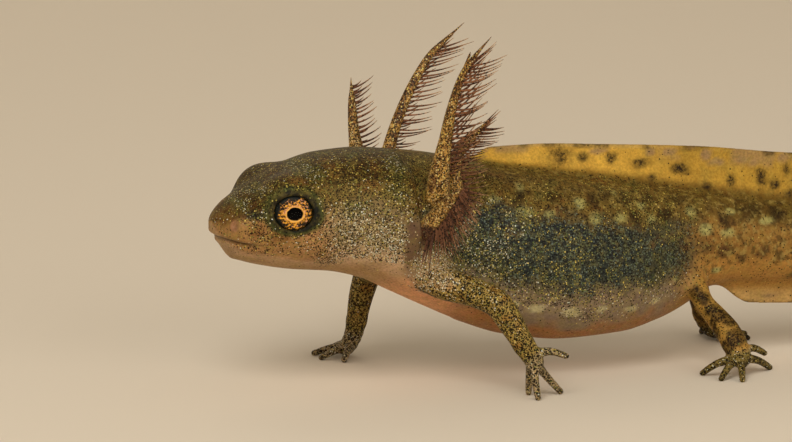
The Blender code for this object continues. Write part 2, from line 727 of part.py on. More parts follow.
def main():
    clear_scene()
    rng = random.Random(7)
    parts = []

    def add(item, look, roughness=0.4):
        finish(item, FLESH[look], roughness)
        parts.append(item)

    add(make_head(), "head")
    for side, word in ((LEFT, "left"), (RIGHT, "right")):
        add(ball("eye_" + word, mirrored(EYE, side), EYE_RADII, 16), "eye", 0.1)
    add(body_length("trunk", TRUNK_START, TRUNK_END, 15, TRUNK_SIDES), "trunk")
    add(body_length("tail", TAIL_START, TAIL_END, 18, TAIL_SIDES), "tail")
    over_tail = fin_stations(DORSAL_START, TAIL_END + GAP)
    tip_lobe = spaced(TAIL_END + GAP + LOBE_STEP, TIP, 2)
    add(make_fin("fin_dorsal", DORSAL_EDGE, over_tail + tip_lobe, dorsal_root, DORSAL_RISE), "fin")
    under_tail = fin_stations(VENTRAL_START, TAIL_END - LOBE_STEP)
    add(make_fin("fin_ventral", VENTRAL_EDGE, under_tail, ventral_root, VENTRAL_RISE), "fin")
    for spec in LEGS.values():
        for piece in make_leg(spec):
            add(piece, "limb")
    for name, spec in GILLS.items():
        side = name.rsplit("_", 1)[0]
        earlier = [part.name for part in parts if part.name.startswith(side)]
        add(make_gill(name, spec, earlier, rng), "gill")
    centre_all(parts)


main()
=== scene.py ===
"""Looks of the alpine newt larva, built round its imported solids.

Shapes are worked out in millimetres in the body's own frame, with x running back from the tip of the
snout, y to the animal's right and z up from the floor. The last step of each piece turns them into the
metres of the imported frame.
"""

import itertools
import math
import random

import bpy
import numpy as np
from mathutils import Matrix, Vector


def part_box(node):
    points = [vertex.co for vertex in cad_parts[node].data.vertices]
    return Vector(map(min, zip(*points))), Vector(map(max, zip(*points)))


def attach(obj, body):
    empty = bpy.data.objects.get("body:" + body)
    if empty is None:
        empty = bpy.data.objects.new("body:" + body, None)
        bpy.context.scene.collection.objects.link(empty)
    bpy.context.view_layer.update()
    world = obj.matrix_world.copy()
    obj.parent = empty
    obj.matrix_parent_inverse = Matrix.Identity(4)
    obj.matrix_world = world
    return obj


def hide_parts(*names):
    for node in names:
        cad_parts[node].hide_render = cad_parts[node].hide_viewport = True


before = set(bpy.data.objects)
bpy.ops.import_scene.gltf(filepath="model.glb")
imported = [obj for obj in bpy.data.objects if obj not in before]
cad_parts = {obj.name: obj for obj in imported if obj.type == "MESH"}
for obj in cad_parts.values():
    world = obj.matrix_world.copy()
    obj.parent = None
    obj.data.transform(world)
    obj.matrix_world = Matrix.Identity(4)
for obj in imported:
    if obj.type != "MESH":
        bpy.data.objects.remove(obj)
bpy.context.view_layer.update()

MM = 0.001
LEFT, RIGHT = -1, 1

# Body outline: distance behind the snout, half width, top, bottom
BODY = np.array((
    (1.0, 2.00, 8.98, 6.24), (2.2, 2.55, 9.74, 5.92), (3.7, 2.90, 10.45, 5.64),
    (5.5, 3.20, 10.90, 5.46), (7.2, 3.60, 10.99, 5.03), (8.7, 3.90, 10.86, 4.31),
    (10.5, 3.42, 10.64, 3.44), (12.3, 3.15, 10.26, 2.63), (14.5, 3.30, 9.76, 1.90),
    (17.2, 3.45, 9.32, 1.54), (20.0, 3.10, 8.86, 1.66), (22.0, 2.50, 8.52, 2.12),
    (23.6, 2.00, 8.24, 2.80), (24.4, 1.80, 8.10, 3.40), (26.0, 1.60, 7.83, 3.66),
    (29.4, 1.40, 7.32, 3.52), (34.0, 1.15, 6.90, 3.80), (40.0, 0.80, 6.35, 4.30),
    (44.5, 0.50, 5.90, 4.70), (47.2, 0.28, 5.50, 4.95),
))
SNOUT_TIP = 0.12
SNOUT_HEIGHT = 7.95
SNOUT_BACK = 1.0
SNOUT_WIDTH_POWER = 0.50
SNOUT_DEPTH_POWER = 0.62
SECTION_POWER = 0.87
SNOUT_SECTION_POWER = 1.02
SNOUT_LENGTH = 5.0
WIDEST = 0.48
BODY_END = 47.2
TIP = 49.0
SWAY_START = 26.0
SWAY = 1.5
NECK_START = 8.75       # the fold behind the cheek
NECK_STEP = 0.34
NECK_STEP_LENGTH = 1.6
NECK_EDGE = 0.22

MOUTH = np.array(((-0.1, 7.36), (0.55, 7.24), (1.1, 7.13), (2.6, 6.92)))
MOUTH_CORNER = 2.3
JAW_SETBACK = 0.14
JAW_SETBACK_LENGTH = 2.0
JAW_EDGE = 0.10
MOUTH_DEPTH = 0.12
MOUTH_WIDTH = 0.075
LIP_SWELL = 0.055
LIP_WIDTH = 0.20
LIP_EDGE = 0.13

EYE = (3.20, 2.30, 8.60)
EYE_RADII = (0.98, 0.90, 0.94)
EYE_TURN = 10.0         # degrees that the eyes look forward
RIM_RADII = (0.90, 0.80)
SOCKET_FLOOR = 0.15     # how far outside the eye's middle its opening starts
ORBIT = (3.27, 1.80, 8.82)
ORBIT_RADII = (1.34, 1.26, 1.41)
NOSTRIL = (0.72, 1.63, 7.97)
NOSTRIL_RIM = 0.24
NOSTRIL_WIDTH = 0.11
NOSTRIL_SWELL = 0.05
NOSTRIL_DEPTH = 0.13
SNOUT_PATCH = (1.60, 2.00, 8.46)
SNOUT_PATCH_RADII = (0.56, 1.0, 0.27)
SHOULDER_PLACE = (9.45, 0, 5.8)

# Grooves between the ribs and along the tail
RIB_PITCH = 0.98
RIB_DEPTH = 0.045
TAIL_PITCH = 1.25
TAIL_SLANT = 1.6
TAIL_DEPTH = 0.035
GROOVE_SHARPNESS = 6

# How far round a join the skin is filled out
ORBIT_FILLET = 0.7
FIN_FILLET = 0.45
GILL_FILLET = 0.5
LEG_FILLET = 0.55
EYE_FILLET = 0.10
PALM_FILLET = 0.2
DIGIT_FILLET = 0.16

# How far from a part its distance is still worked out
ORBIT_MARGIN = 2.6
LIMB_MARGIN = 2.6
LEG_MARGIN = 1.4
GILL_MARGIN = 1.6
EYE_MARGIN = 1.6

# Fins: distance behind the snout, height of the free edge
DORSAL_EDGE = np.array((
    (12.6, 10.71), (13.6, 10.72), (16.0, 10.74), (19.4, 10.56), (24.5, 10.20),
    (29.3, 9.64), (35.0, 9.30), (41.0, 8.60), (45.0, 7.75), (47.6, 6.75), (49.0, 5.45),
))
VENTRAL_EDGE = np.array((
    (24.9, 3.00), (26.5, 2.60), (29.4, 2.38), (34.0, 2.15), (39.0, 2.45),
    (43.0, 3.15), (46.0, 3.95), (47.6, 4.45), (49.0, 5.05),
))
DORSAL_START = 12.2
VENTRAL_START = 24.6
DORSAL_RISE = 1.6
VENTRAL_RISE = 2.6
FIN_SINK = 0.2          # how deep inside the body the fins start
FIN_ROOT = 0.30         # half thickness at the body and at the free edge
FIN_EDGE = 0.11

# Legs: x, y, z and radius of the limb, then of the palm or sole, then of each digit
LEGS = {
    "foreleg_left": {
        "path": ((9.2, -1.9, 5.9, 0.92), (10.0, -3.4, 5.17, 0.80), (11.09, -4.3, 4.79, 0.68),
                 (11.97, -5.35, 4.36, 0.66), (12.51, -5.9, 3.39, 0.58), (12.95, -6.25, 2.5, 0.47)),
        "palm": ((12.95, -6.25, 2.5, 0.47), (13.22, -6.38, 2.05, 0.47), (13.42, -6.42, 1.72, 0.42)),
        "digits": (
            ((13.3, -6.45, 2.1), (14.05, -6.75, 2.22), (14.76, -6.9, 1.98)),
            ((13.35, -6.4, 1.8), (14.12, -6.1, 0.95), (14.95, -5.8, 0.13)),
            ((13.3, -6.5, 1.7), (13.34, -6.68, 0.88), (13.42, -6.8, 0.12)),
            ((13.3, -6.3, 1.8), (13.35, -5.95, 0.95), (13.5, -5.5, 0.12)),
        ),
        "thin": (0.2, 1, 0),
    },
    "foreleg_right": {
        "path": ((9.4, 1.9, 5.9, 0.92), (9.6, 3.3, 5.2, 0.80), (9.75, 4.6, 4.6, 0.68),
                 (9.98, 5.9, 4.1, 0.66), (9.78, 6.35, 2.9, 0.58), (9.62, 6.5, 1.75, 0.47)),
        "palm": ((9.62, 6.5, 1.75, 0.47), (9.44, 6.55, 0.95, 0.46), (9.1, 6.6, 0.36, 0.44)),
        "digits": (
            ((9.3, 6.4, 0.6), (8.85, 5.7, 0.42), (8.45, 5.1, 0.12)),
            ((9.1, 6.5, 0.45), (8.45, 6.3, 0.36), (7.68, 6.1, 0.12)),
            ((9.1, 6.65, 0.45), (8.45, 7.0, 0.36), (7.75, 7.3, 0.12)),
            ((9.3, 6.7, 0.6), (9.05, 7.4, 0.42), (8.8, 8.0, 0.12)),
        ),
        "thin": (0, 0, 1),
    },
    "hind_leg_left": {
        "path": ((23.2, -0.7, 4.4, 0.70), (23.52, -1.9, 3.70, 0.50), (23.65, -2.5, 3.13, 0.46),
                 (24.0, -3.1, 2.55, 0.52), (24.25, -3.7, 2.02, 0.60), (24.38, -4.2, 1.55, 0.58)),
        "palm": ((24.38, -4.2, 1.55, 0.58), (24.44, -4.52, 1.15, 0.58), (24.5, -4.75, 0.82, 0.46)),
        "digits": (
            ((24.3, -4.7, 0.85), (23.45, -4.45, 0.62), (22.9, -4.0, 0.12)),
            ((24.3, -4.8, 0.85), (23.7, -5.2, 0.6), (23.15, -5.55, 0.12)),
            ((24.4, -4.9, 0.85), (24.2, -5.5, 0.55), (23.95, -6.15, 0.12)),
            ((24.6, -4.75, 0.85), (25.55, -4.4, 0.62), (26.45, -3.8, 0.12)),
            ((24.5, -4.6, 1.1), (25.35, -4.25, 1.2), (26.1, -3.95, 0.85)),
        ),
        "thin": (0, 1, -0.3),
    },
    "hind_leg_right": {
        "path": ((23.3, 0.7, 4.5, 0.92), (24.0, 1.9, 4.2, 0.82), (24.9, 2.9, 3.85, 0.71),
                 (25.9, 3.75, 3.2, 0.62), (26.4, 4.05, 2.2, 0.53), (26.65, 4.2, 1.35, 0.46)),
        "palm": ((26.65, 4.2, 1.35, 0.46), (26.95, 4.3, 0.72, 0.46), (27.4, 4.38, 0.36, 0.45)),
        "digits": (
            ((27.1, 4.2, 0.5), (27.35, 3.5, 0.36), (27.7, 2.9, 0.12)),
            ((27.2, 4.3, 0.45), (28.0, 3.85, 0.34), (28.75, 3.55, 0.12)),
            ((27.2, 4.4, 0.45), (28.2, 4.5, 0.34), (29.1, 4.6, 0.12)),
            ((27.2, 4.5, 0.45), (27.95, 5.15, 0.34), (28.6, 5.6, 0.12)),
            ((27.1, 4.6, 0.5), (27.25, 5.3, 0.36), (27.4, 5.95, 0.12)),
        ),
        "thin": (0, 0, 1),
    },
}
DIGIT_RADII = (0.25, 0.175, 0.14)
PALM_FLATTEN = 0.66
LIMB_PIECES = 16
PALM_PIECES = 5
DIGIT_PIECES = 6

# Gills: x, y, z and radius of the stalk, and of its fork; where the two rows of filaments start and end on
# it and how many each row holds; the lengths of the first and last filament; the angle of each row to the
# way they lie; how far they curl towards the stalk's tip; the way the first and last one lie; and how much
# painted shade darkens the first ones, near the body
GILLS = {
    "gill_left_upper": {
        "path": ((9.7, -2.3, 7.9, 0.80), (9.75, -3.5, 8.95, 0.60), (9.72, -4.0, 10.3, 0.46),
                 (9.80, -4.5, 11.8, 0.31), (9.83, -5.2, 13.4, 0.22), (10.13, -5.75, 14.95, 0.15),
                 (10.6, -6.25, 15.9, 0.10), (11.15, -6.65, 16.7, 0.035)),
        "fork": ((10.03, -5.6, 14.6, 0.12), (10.2, -5.95, 15.35, 0.09), (10.3, -6.25, 16.0, 0.035)),
        "rows": (0.28, 0.77, 28), "lengths": (1.75, 1.5), "spread": 0.5, "curl": 0.30,
        "lies": ((1.0, -0.25, 0.22), (1.0, -0.25, 0.26)), "deep_shade": 0.4,
    },
    "gill_left_middle": {
        "path": ((10.3, -1.9, 7.8, 0.70), (10.7, -3.05, 8.9, 0.50), (10.65, -3.25, 10.2, 0.38),
                 (10.95, -3.4, 11.2, 0.28), (11.5, -3.65, 11.85, 0.18), (12.05, -4.0, 12.5, 0.05)),
        "rows": (0.18, 0.90, 27), "lengths": (1.45, 1.1), "spread": 0.5, "curl": 0.16,
        "lies": ((1.0, 0.1, -0.1), (1.0, -0.1, 0.30)), "deep_shade": 0.7,
    },
    "gill_left_lower": {
        "path": ((9.5, -2.2, 7.0, 0.75), (9.32, -3.8, 7.7, 0.58), (9.45, -4.7, 8.5, 0.42),
                 (9.7, -5.5, 9.25, 0.26), (9.95, -6.3, 9.9, 0.04)),
        "rows": (0.30, 0.95, 32), "lengths": (2.5, 1.4), "spread": 0.42, "curl": 0.05,
        "lies": ((0.05, 0.0, -1.0), (0.8, 0.0, -0.6)), "deep_shade": 1.0,
    },
    "gill_right_upper": {
        "path": ((9.5, 1.9, 8.0, 0.80), (9.68, 2.7, 9.3, 0.48), (9.93, 2.95, 10.52, 0.31),
                 (10.55, 3.22, 12.0, 0.25), (11.32, 3.45, 13.39, 0.21), (12.22, 3.65, 14.62, 0.16),
                 (13.15, 3.9, 15.33, 0.10), (14.17, 4.2, 16.03, 0.035)),
        "rows": (0.27, 0.77, 26), "lengths": (1.70, 1.6), "spread": 0.4, "curl": 0.12,
        "lies": ((1.0, 0.3, -0.12), (1.0, 0.3, 0.22)), "deep_shade": 0.3,
    },
    "gill_right_middle": {
        "path": ((9.5, 2.3, 7.6, 0.70), (9.3, 3.8, 8.5, 0.56), (9.1, 4.7, 9.6, 0.42),
                 (9.1, 5.4, 10.8, 0.28), (9.25, 6.1, 12.05, 0.20), (9.42, 6.7, 13.35, 0.035)),
        "rows": (0.34, 0.92, 18), "lengths": (1.15, 1.0), "spread": 0.5, "curl": 0.16,
        "lies": ((1.0, 0.2, -0.1), (1.0, 0.2, 0.25)), "deep_shade": 0.3,
    },
    "gill_right_lower": {
        "path": ((9.6, 2.2, 6.7, 0.75), (9.6, 3.7, 7.1, 0.58), (9.9, 4.8, 7.7, 0.43),
                 (10.3, 5.8, 8.4, 0.28), (10.8, 6.8, 9.0, 0.04)),
        "rows": (0.32, 0.95, 30), "lengths": (2.2, 1.3), "spread": 0.42, "curl": 0.05,
        "lies": ((0.1, 0.0, -1.0), (0.8, 0.0, -0.6)), "deep_shade": 1.0,
    },
}
FILAMENT_RADII = (0.054, 0.045, 0.031, 0.012)
FILAMENT_VARIATION = 0.14
FILAMENT_RINGS = 9
FILAMENT_SIDES = 6
STALK_SIDES = 16
STALK_RINGS = 70
STALK_LOW = (8.15, 7.75)    # heights between which the golden stalks turn brown towards their roots
FORK_SIDES = 10
FORK_RINGS = 16
GILL_SEED = 11
COLLAR = 0.40           # share of a stalk over which the skin rises round it
COLLAR_PIECES = 8
FAR = 99.0              # what a distance is where it isn't worked out

# The net over the skin: the cells' edges along x to each limit, then across
NET_STEPS = ((9.0, 0.084), (15.2, 0.130), (22.0, 0.170), (29.4, 0.130), (49.3, 0.210))
NET_START = -0.2
NET_ACROSS = 0.107
NET_LOW = (-7.5, -0.4)
NET_HIGH = (8.5, 12.4)
RELAXATION = 0.6

# Eye: shares of its radii
IRIS_FLAT = 0.62
PUPIL = (0.375, 0.315)
PUPIL_SHIFT = (0.045, -0.045)
PUPIL_DEPTH = 0.42
CORNEA = 1.005
CORNEA_ANGLE = 62       # degrees from its middle to its rim

# Camera: its target is in millimetres of the body's own frame, its distance in metres
VIEW_AZIMUTH = math.radians(-21.0)
VIEW_ELEVATION = math.radians(9.0)
VIEW_TARGET = (7.95, -3.07, 8.01)
VIEW_DISTANCE = 0.220
LENS = 220
SENSOR = 36
CLIP = (0.005, 20)

# Stage and lights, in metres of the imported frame. A light has a place, a size, a power and a colour
FLOOR_RINGS = (0.0001, 0.05, 0.15)
FLOOR_REACH = 0.75
SWEEP = 0.40
SWEEP_STEPS = 16
WALL_TOP = 1.10
STAGE_SIDES = 96
FLOOR_COLOUR = (0.80, 0.73, 0.63, 1)
LIGHT_TARGET = Vector((-0.010, 0.0, 0.006))
LIGHTS = (
    ("key", (-0.16, -0.22, 0.24), 0.20, 0.62, (1.0, 0.94, 0.84)),
    ("fill", (0.10, -0.34, 0.10), 0.26, 0.47, (1.0, 0.91, 0.78)),
    ("rim", (0.02, 0.22, 0.20), 0.16, 0.07, (1.0, 0.88, 0.70)),
)
WORLD_COLOUR = (0.95, 0.84, 0.66, 1)
WORLD_STRENGTH = 0.28
WALL_GLOW = 0.22
WALL_GLOW_REACH = (0.30, 0.85)      # where the glow starts, and where it is full

HAZE_CELLS = 32         # after how many cells the random values of a haze repeat

# Skin colours, as the red, green and blue of a screen
BELLY = (164, 110, 64)
BAND = (138, 118, 98)
FLANK = (62, 68, 54)
BACK = (106, 82, 34)
THROAT = (176, 138, 94)
# The jaw's pale skin, lightened further as painted light from below
JAW_WITH_PAINTED_LIGHT = (194, 160, 124)
# The chest's pale pinkish skin, lightened further as painted light where the neck shades it
CHEST_WITH_PAINTED_LIGHT = (232, 166, 118)
CHEEK = (146, 124, 88)
CHEEK_FRONT = (176, 132, 88)
TEMPLE = (116, 94, 46)
CROWN = (66, 42, 11)
SNOUT = (168, 124, 76)
WARM = (116, 74, 32)
MOSS = (84, 84, 38)
LIP = (176, 138, 94)
NOSTRIL_SPOT = (168, 122, 88)
FOLD = (106, 80, 62)
# Painted shade: a dark line along the mouth's groove
MOUTH_GROOVE_SHADE = (66, 42, 24)
TAIL = (148, 108, 50)
TAIL_LOW = (176, 128, 62)
TAIL_HIGH = (98, 74, 28)
FIN = (222, 176, 70)
FIN_HEM = (196, 164, 96)
FIN_MOTTLE = (158, 128, 88)
FIN_BASE = (112, 82, 24)
FIN_REAR = (176, 138, 48)
LOW_FIN = (200, 162, 100)
FORE_SKIN = (164, 138, 72)
FORE_WARM = (152, 106, 46)
HIND_SKIN = (176, 134, 62)
DIGIT_SKIN = (170, 148, 112)
HIND_DIGIT = (122, 104, 54)
SHOULDER = (172, 142, 106)
EYE_RING = (16, 22, 20)
EYE_GREEN = (66, 72, 36)
DARK_PATCH = (44, 44, 32)
PALE_BLOTCH = (170, 166, 102)
BELLY_SPOT = (196, 186, 142)
BLACK = (12, 9, 6)
SHADE = (60, 42, 16)
GRAIN = (30, 22, 10)
NAVY = (24, 32, 38)
BLOTCH = (38, 26, 8)
MOTTLE_DARK = (54, 40, 16)
MOTTLE_LIGHT = (156, 136, 74)
BROWN_BLOTCH = (88, 58, 30)
GOLD = (164, 148, 66)
GOLD_GREEN = (98, 112, 58)
GOLD_BRIGHT = (228, 206, 108)
SILVER = (188, 202, 188)
SILVER_WARM = (206, 186, 146)
# The brightest few silver specks: painted glints
SILVER_PAINTED_GLINT = (234, 240, 230)
DULL_GREEN = (94, 102, 58)
DULL_TEAL = (104, 118, 112)
STALK = (188, 146, 74)
STALK_DARK = (112, 76, 40)
FILAMENT = (156, 106, 72)
FILAMENT_DARK = (92, 58, 38)
# Painted shade on the filaments near the body and on the lower gills
FILAMENT_SHADE = (70, 42, 30)
FILAMENT_TIP = (200, 160, 118)
IRIS_GOLD = (236, 168, 52)
IRIS_BROWN = (112, 60, 20)
IRIS_PINK = (226, 164, 130)
IRIS_RING = (244, 186, 96)
IRIS_BLACK = (10, 10, 9)
CORNEA_COLOUR = (12, 12, 10)

# Marks along the body: distance behind the snout, height above the floor, half length and half height
FIN_MARKS = (
    (17.45, 10.15, 0.52, 0.40), (18.4, 10.01, 0.26, 0.20), (19.85, 9.84, 0.28, 0.24),
    (21.3, 9.60, 0.44, 0.19), (22.0, 8.88, 0.17, 0.15), (23.4, 9.23, 0.34, 0.27),
    (24.75, 8.24, 0.24, 0.20), (26.05, 8.54, 0.20, 0.28),
    (27.65, 8.58, 0.22, 0.38), (29.0, 8.84, 0.20, 0.22), (28.4, 8.20, 0.22, 0.18), (29.2, 7.74, 0.26, 0.26),
    (30.2, 9.10, 0.40, 0.22), (30.6, 8.10, 0.26, 0.34), (31.9, 8.60, 0.34, 0.24), (33.2, 8.95, 0.42, 0.20),
    (33.7, 7.70, 0.28, 0.26), (35.1, 8.35, 0.36, 0.30), (36.4, 8.75, 0.34, 0.20), (36.9, 7.45, 0.30, 0.26),
    (38.3, 8.05, 0.36, 0.26), (39.8, 7.50, 0.30, 0.30), (41.0, 8.05, 0.34, 0.20), (42.0, 7.15, 0.30, 0.24),
    (43.4, 7.45, 0.32, 0.22), (45.0, 6.75, 0.28, 0.22), (46.6, 6.35, 0.24, 0.18), (29.9, 2.85, 0.30, 0.18),
    (31.3, 3.00, 0.40, 0.20), (33.6, 2.75, 0.32, 0.24), (36.0, 3.15, 0.36, 0.20),
    (38.4, 3.10, 0.32, 0.22), (40.7, 3.50, 0.34, 0.20), (43.0, 3.85, 0.28, 0.20), (45.3, 4.30, 0.24, 0.16),
)
FIN_GREYS = (
    (19.2, 10.25, 0.45, 0.16), (21.9, 10.08, 0.30, 0.20), (22.9, 10.02, 0.40, 0.18), (24.7, 9.77, 0.30, 0.24),
    (25.3, 9.42, 0.38, 0.18), (26.6, 9.45, 0.46, 0.26), (27.3, 9.32, 0.40, 0.24), (28.75, 9.42, 0.50, 0.26),
    (31.0, 9.50, 0.45, 0.20), (34.4, 9.10, 0.50, 0.24), (37.6, 8.65, 0.45, 0.24), (40.3, 8.30, 0.45, 0.22),
    (43.0, 7.95, 0.40, 0.20), (28.1, 2.85, 0.48, 0.16), (34.8, 2.70, 0.45, 0.18), (39.6, 3.10, 0.40, 0.18),
)
DARK_MARKS = (
    (12.9, 9.75, 0.42, 0.26), (14.1, 9.60, 0.50, 0.24), (14.2, 8.65, 0.42, 0.24), (15.9, 8.55, 0.36, 0.26),
    (17.5, 8.96, 0.44, 0.22), (18.0, 8.24, 0.30, 0.26), (18.8, 8.64, 0.26, 0.36), (19.8, 8.22, 0.26, 0.30),
    (20.0, 7.48, 0.32, 0.36), (21.0, 8.15, 0.28, 0.32), (21.8, 7.40, 0.42, 0.27), (22.8, 8.03, 0.48, 0.25),
    (25.0, 6.82, 0.38, 0.33), (26.75, 7.32, 0.44, 0.36), (28.0, 6.98, 0.42, 0.30), (29.6, 6.60, 0.46, 0.34),
    (31.5, 6.30, 0.40, 0.28), (33.0, 6.75, 0.36, 0.24), (34.6, 6.30, 0.40, 0.24), (36.9, 5.90, 0.38, 0.24),
    (38.6, 6.05, 0.34, 0.22), (40.2, 5.85, 0.36, 0.20), (42.1, 5.60, 0.32, 0.18), (43.8, 5.50, 0.30, 0.16),
)
BROWN_MARKS = (
    (22.65, 5.76, 0.30, 0.26), (24.1, 5.66, 0.40, 0.26), (25.1, 5.47, 0.42, 0.30), (26.0, 4.97, 0.28, 0.24),
    (27.15, 5.21, 0.42, 0.38), (28.0, 4.95, 0.24, 0.24), (28.9, 3.86, 0.34, 0.24), (29.9, 5.20, 0.36, 0.30),
    (31.9, 4.70, 0.34, 0.26), (33.4, 5.40, 0.38, 0.28), (35.4, 4.75, 0.34, 0.26), (37.4, 5.15, 0.36, 0.24),
    (39.4, 4.90, 0.34, 0.22), (41.5, 4.95, 0.32, 0.20), (45.6, 5.10, 0.24, 0.14),
)
PALE_MARKS = (
    (13.0, 8.66, 0.38, 0.24), (14.4, 9.12, 0.36, 0.30), (14.3, 8.06, 0.46, 0.24), (15.6, 7.88, 0.40, 0.24),
    (17.25, 8.29, 0.30, 0.26), (17.9, 7.56, 0.38, 0.28), (19.25, 7.46, 0.34, 0.28), (19.3, 8.56, 0.24, 0.20),
    (20.5, 7.88, 0.24, 0.20), (20.9, 7.26, 0.30, 0.20), (23.3, 7.39, 0.30, 0.20), (25.4, 7.23, 0.30, 0.18),
    (26.4, 7.74, 0.36, 0.14), (23.95, 6.50, 0.38, 0.26), (25.3, 6.29, 0.40, 0.24), (27.3, 6.66, 0.42, 0.22),
    (24.7, 4.48, 0.30, 0.15), (22.25, 4.34, 0.22, 0.15), (29.0, 6.10, 0.38, 0.24), (30.8, 5.90, 0.42, 0.24),
    (32.8, 6.15, 0.38, 0.20), (35.0, 5.70, 0.38, 0.20), (37.4, 5.65, 0.36, 0.18), (39.6, 5.45, 0.32, 0.16),
)
BELLY_MARKS = (
    (13.7, 3.75, 0.28, 0.16), (14.95, 3.54, 0.38, 0.21), (16.7, 3.20, 0.40, 0.22), (18.2, 3.30, 0.26, 0.15),
    (19.8, 3.17, 0.32, 0.18), (21.2, 3.45, 0.26, 0.15),
)
INK_MARKS = (
    (12.8, 6.75, 0.34, 0.42), (13.95, 7.00, 0.66, 0.55), (13.75, 6.05, 0.55, 0.36), (13.6, 5.03, 0.42, 0.30),
    (16.0, 6.40, 0.80, 0.50), (18.1, 5.90, 0.55, 0.75), (20.4, 5.60, 0.60, 0.55), (19.3, 6.60, 0.60, 0.35),
)
WARM_MARKS = (
    (0.45, 8.15, 0.28, 0.34), (2.35, 9.50, 0.40, 0.24), (2.5, 7.55, 0.60, 0.34), (3.5, 9.98, 0.62, 0.22),
    (1.6, 7.75, 0.30, 0.36), (5.2, 10.2, 0.42, 0.22), (6.6, 9.70, 0.50, 0.26),
)
MOSS_MARKS = (
    (1.1, 8.90, 0.32, 0.26), (2.0, 9.48, 0.38, 0.28), (4.3, 10.22, 0.75, 0.34), (7.8, 9.40, 0.60, 0.45),
    (8.4, 10.5, 0.60, 0.30), (6.0, 8.75, 0.55, 0.40),
)

# Marks on the hind leg: x, y, z and size
HIND_MARKS = (
    (23.7, -3.35, 2.95, 0.30), (23.96, -3.66, 2.75, 0.32), (24.3, -3.95, 2.55, 0.34),
    (24.8, -4.30, 1.95, 0.36), (24.35, -4.65, 1.90, 0.34), (24.05, -4.66, 1.70, 0.26),
    (23.6, -3.60, 2.40, 0.20), (23.6, -3.70, 1.90, 0.26), (23.9, -4.60, 1.45, 0.28),
    (23.2, -2.40, 3.70, 0.26), (23.5, -2.75, 3.50, 0.24),
)

# How far the marks of the right side are moved, so that it isn't the left side's exact mirror
RIGHT_MARK_SHIFT = 0.55


def body_shift():
    """What takes a point of the body frame, in metres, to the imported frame: the left eye fixes it."""
    low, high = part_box("eye_left")
    return (low + high) / 2 - Vector((EYE[0], LEFT * EYE[1], EYE[2])) * MM


SHIFT = body_shift()


def smooth(table, at, column=1):
    """Values of a column at some distances, on a curve through the table that never overshoots."""
    xs = table[:, 0]
    ys = table[:, column]
    steps = np.diff(xs)
    slopes = np.diff(ys) / steps
    same_way = slopes[:-1] * slopes[1:] > 0
    mean = 2 * slopes[:-1] * slopes[1:] / np.where(same_way, slopes[:-1] + slopes[1:], 1)
    ends = np.concatenate(([slopes[0]], np.where(same_way, mean, 0), [slopes[-1]]))
    at = np.clip(at, xs[0], xs[-1])
    k = np.clip(np.searchsorted(xs, at, side="right") - 1, 0, len(steps) - 1)
    u = (at - xs[k]) / steps[k]
    start = ys[k] * (1 + 2 * u) * (1 - u) ** 2 + steps[k] * ends[k] * u * (1 - u) ** 2
    return start + ys[k + 1] * u * u * (3 - 2 * u) + steps[k] * ends[k + 1] * u * u * (u - 1)


def step(low, high, value):
    """Rises smoothly from 0 at low to 1 at high."""
    u = np.clip((value - low) / (high - low), 0, 1)
    return u * u * (3 - 2 * u)


def merged(a, b, reach):
    """Distance to the union of two shapes, with a fillet of about that reach between them."""
    h = np.clip(0.5 + 0.5 * (b - a) / reach, 0, 1)
    return b + (a - b) * h - reach * h * (1 - h)


def on_side(place, side):
    """A place that is given for the right side, on the side asked for."""
    return np.array((place[0], side * place[1], place[2]))


def sway(x):
    return SWAY * (np.maximum(0, x - SWAY_START) / (TIP - SWAY_START)) ** 2


def body_section(x):
    """Half width, top and bottom of the body at some distances."""
    inner = np.clip(x, SNOUT_BACK, BODY_END)
    width, top, bottom = (smooth(BODY, inner, column) for column in (1, 2, 3))
    share = np.clip((x - SNOUT_TIP) / (SNOUT_BACK - SNOUT_TIP), 0.0, 1)
    width = width * share ** SNOUT_WIDTH_POWER
    top = SNOUT_HEIGHT + (top - SNOUT_HEIGHT) * share ** SNOUT_DEPTH_POWER
    bottom = SNOUT_HEIGHT + (bottom - SNOUT_HEIGHT) * share ** SNOUT_DEPTH_POWER
    neck = np.clip((x - NECK_START) / NECK_STEP_LENGTH, 0, 1)
    width = width - NECK_STEP * (1 - neck) ** 2 * step(0, NECK_EDGE, x - NECK_START)
    return width, top, bottom


def body_field(p):
    """Distance to the plain body along its cross-section, negative inside."""
    x, y, z = p.T
    jaw = JAW_SETBACK * np.maximum(0, 1 - x / JAW_SETBACK_LENGTH) * step(0, JAW_EDGE, smooth(MOUTH, x) - z)
    along = x - jaw
    width, top, bottom = body_section(along)
    middle = bottom + WIDEST * (top - bottom)
    power = SECTION_POWER + (SNOUT_SECTION_POWER - SECTION_POWER) * np.maximum(0, 1 - x / SNOUT_LENGTH)
    side = np.abs(y - sway(x))
    rise = z - middle
    height = np.where(rise > 0, top - middle, middle - bottom)
    spread = (side / np.maximum(width, 1e-3)) ** (2 / power)
    spread = (spread + (np.abs(rise) / np.maximum(height, 1e-3)) ** (2 / power)) ** (power / 2)
    away = np.hypot(side, rise)
    distance = away * (1 - 1 / np.maximum(spread, 1e-4))
    distance = np.where(spread < 0.05, -np.minimum(width, height), distance)
    ahead = np.maximum(0, SNOUT_TIP - along)
    behind = np.maximum(0, x - BODY_END)
    outside = np.hypot(np.maximum(distance, 0), ahead + behind)
    return np.where(ahead + behind > 0, outside, distance)


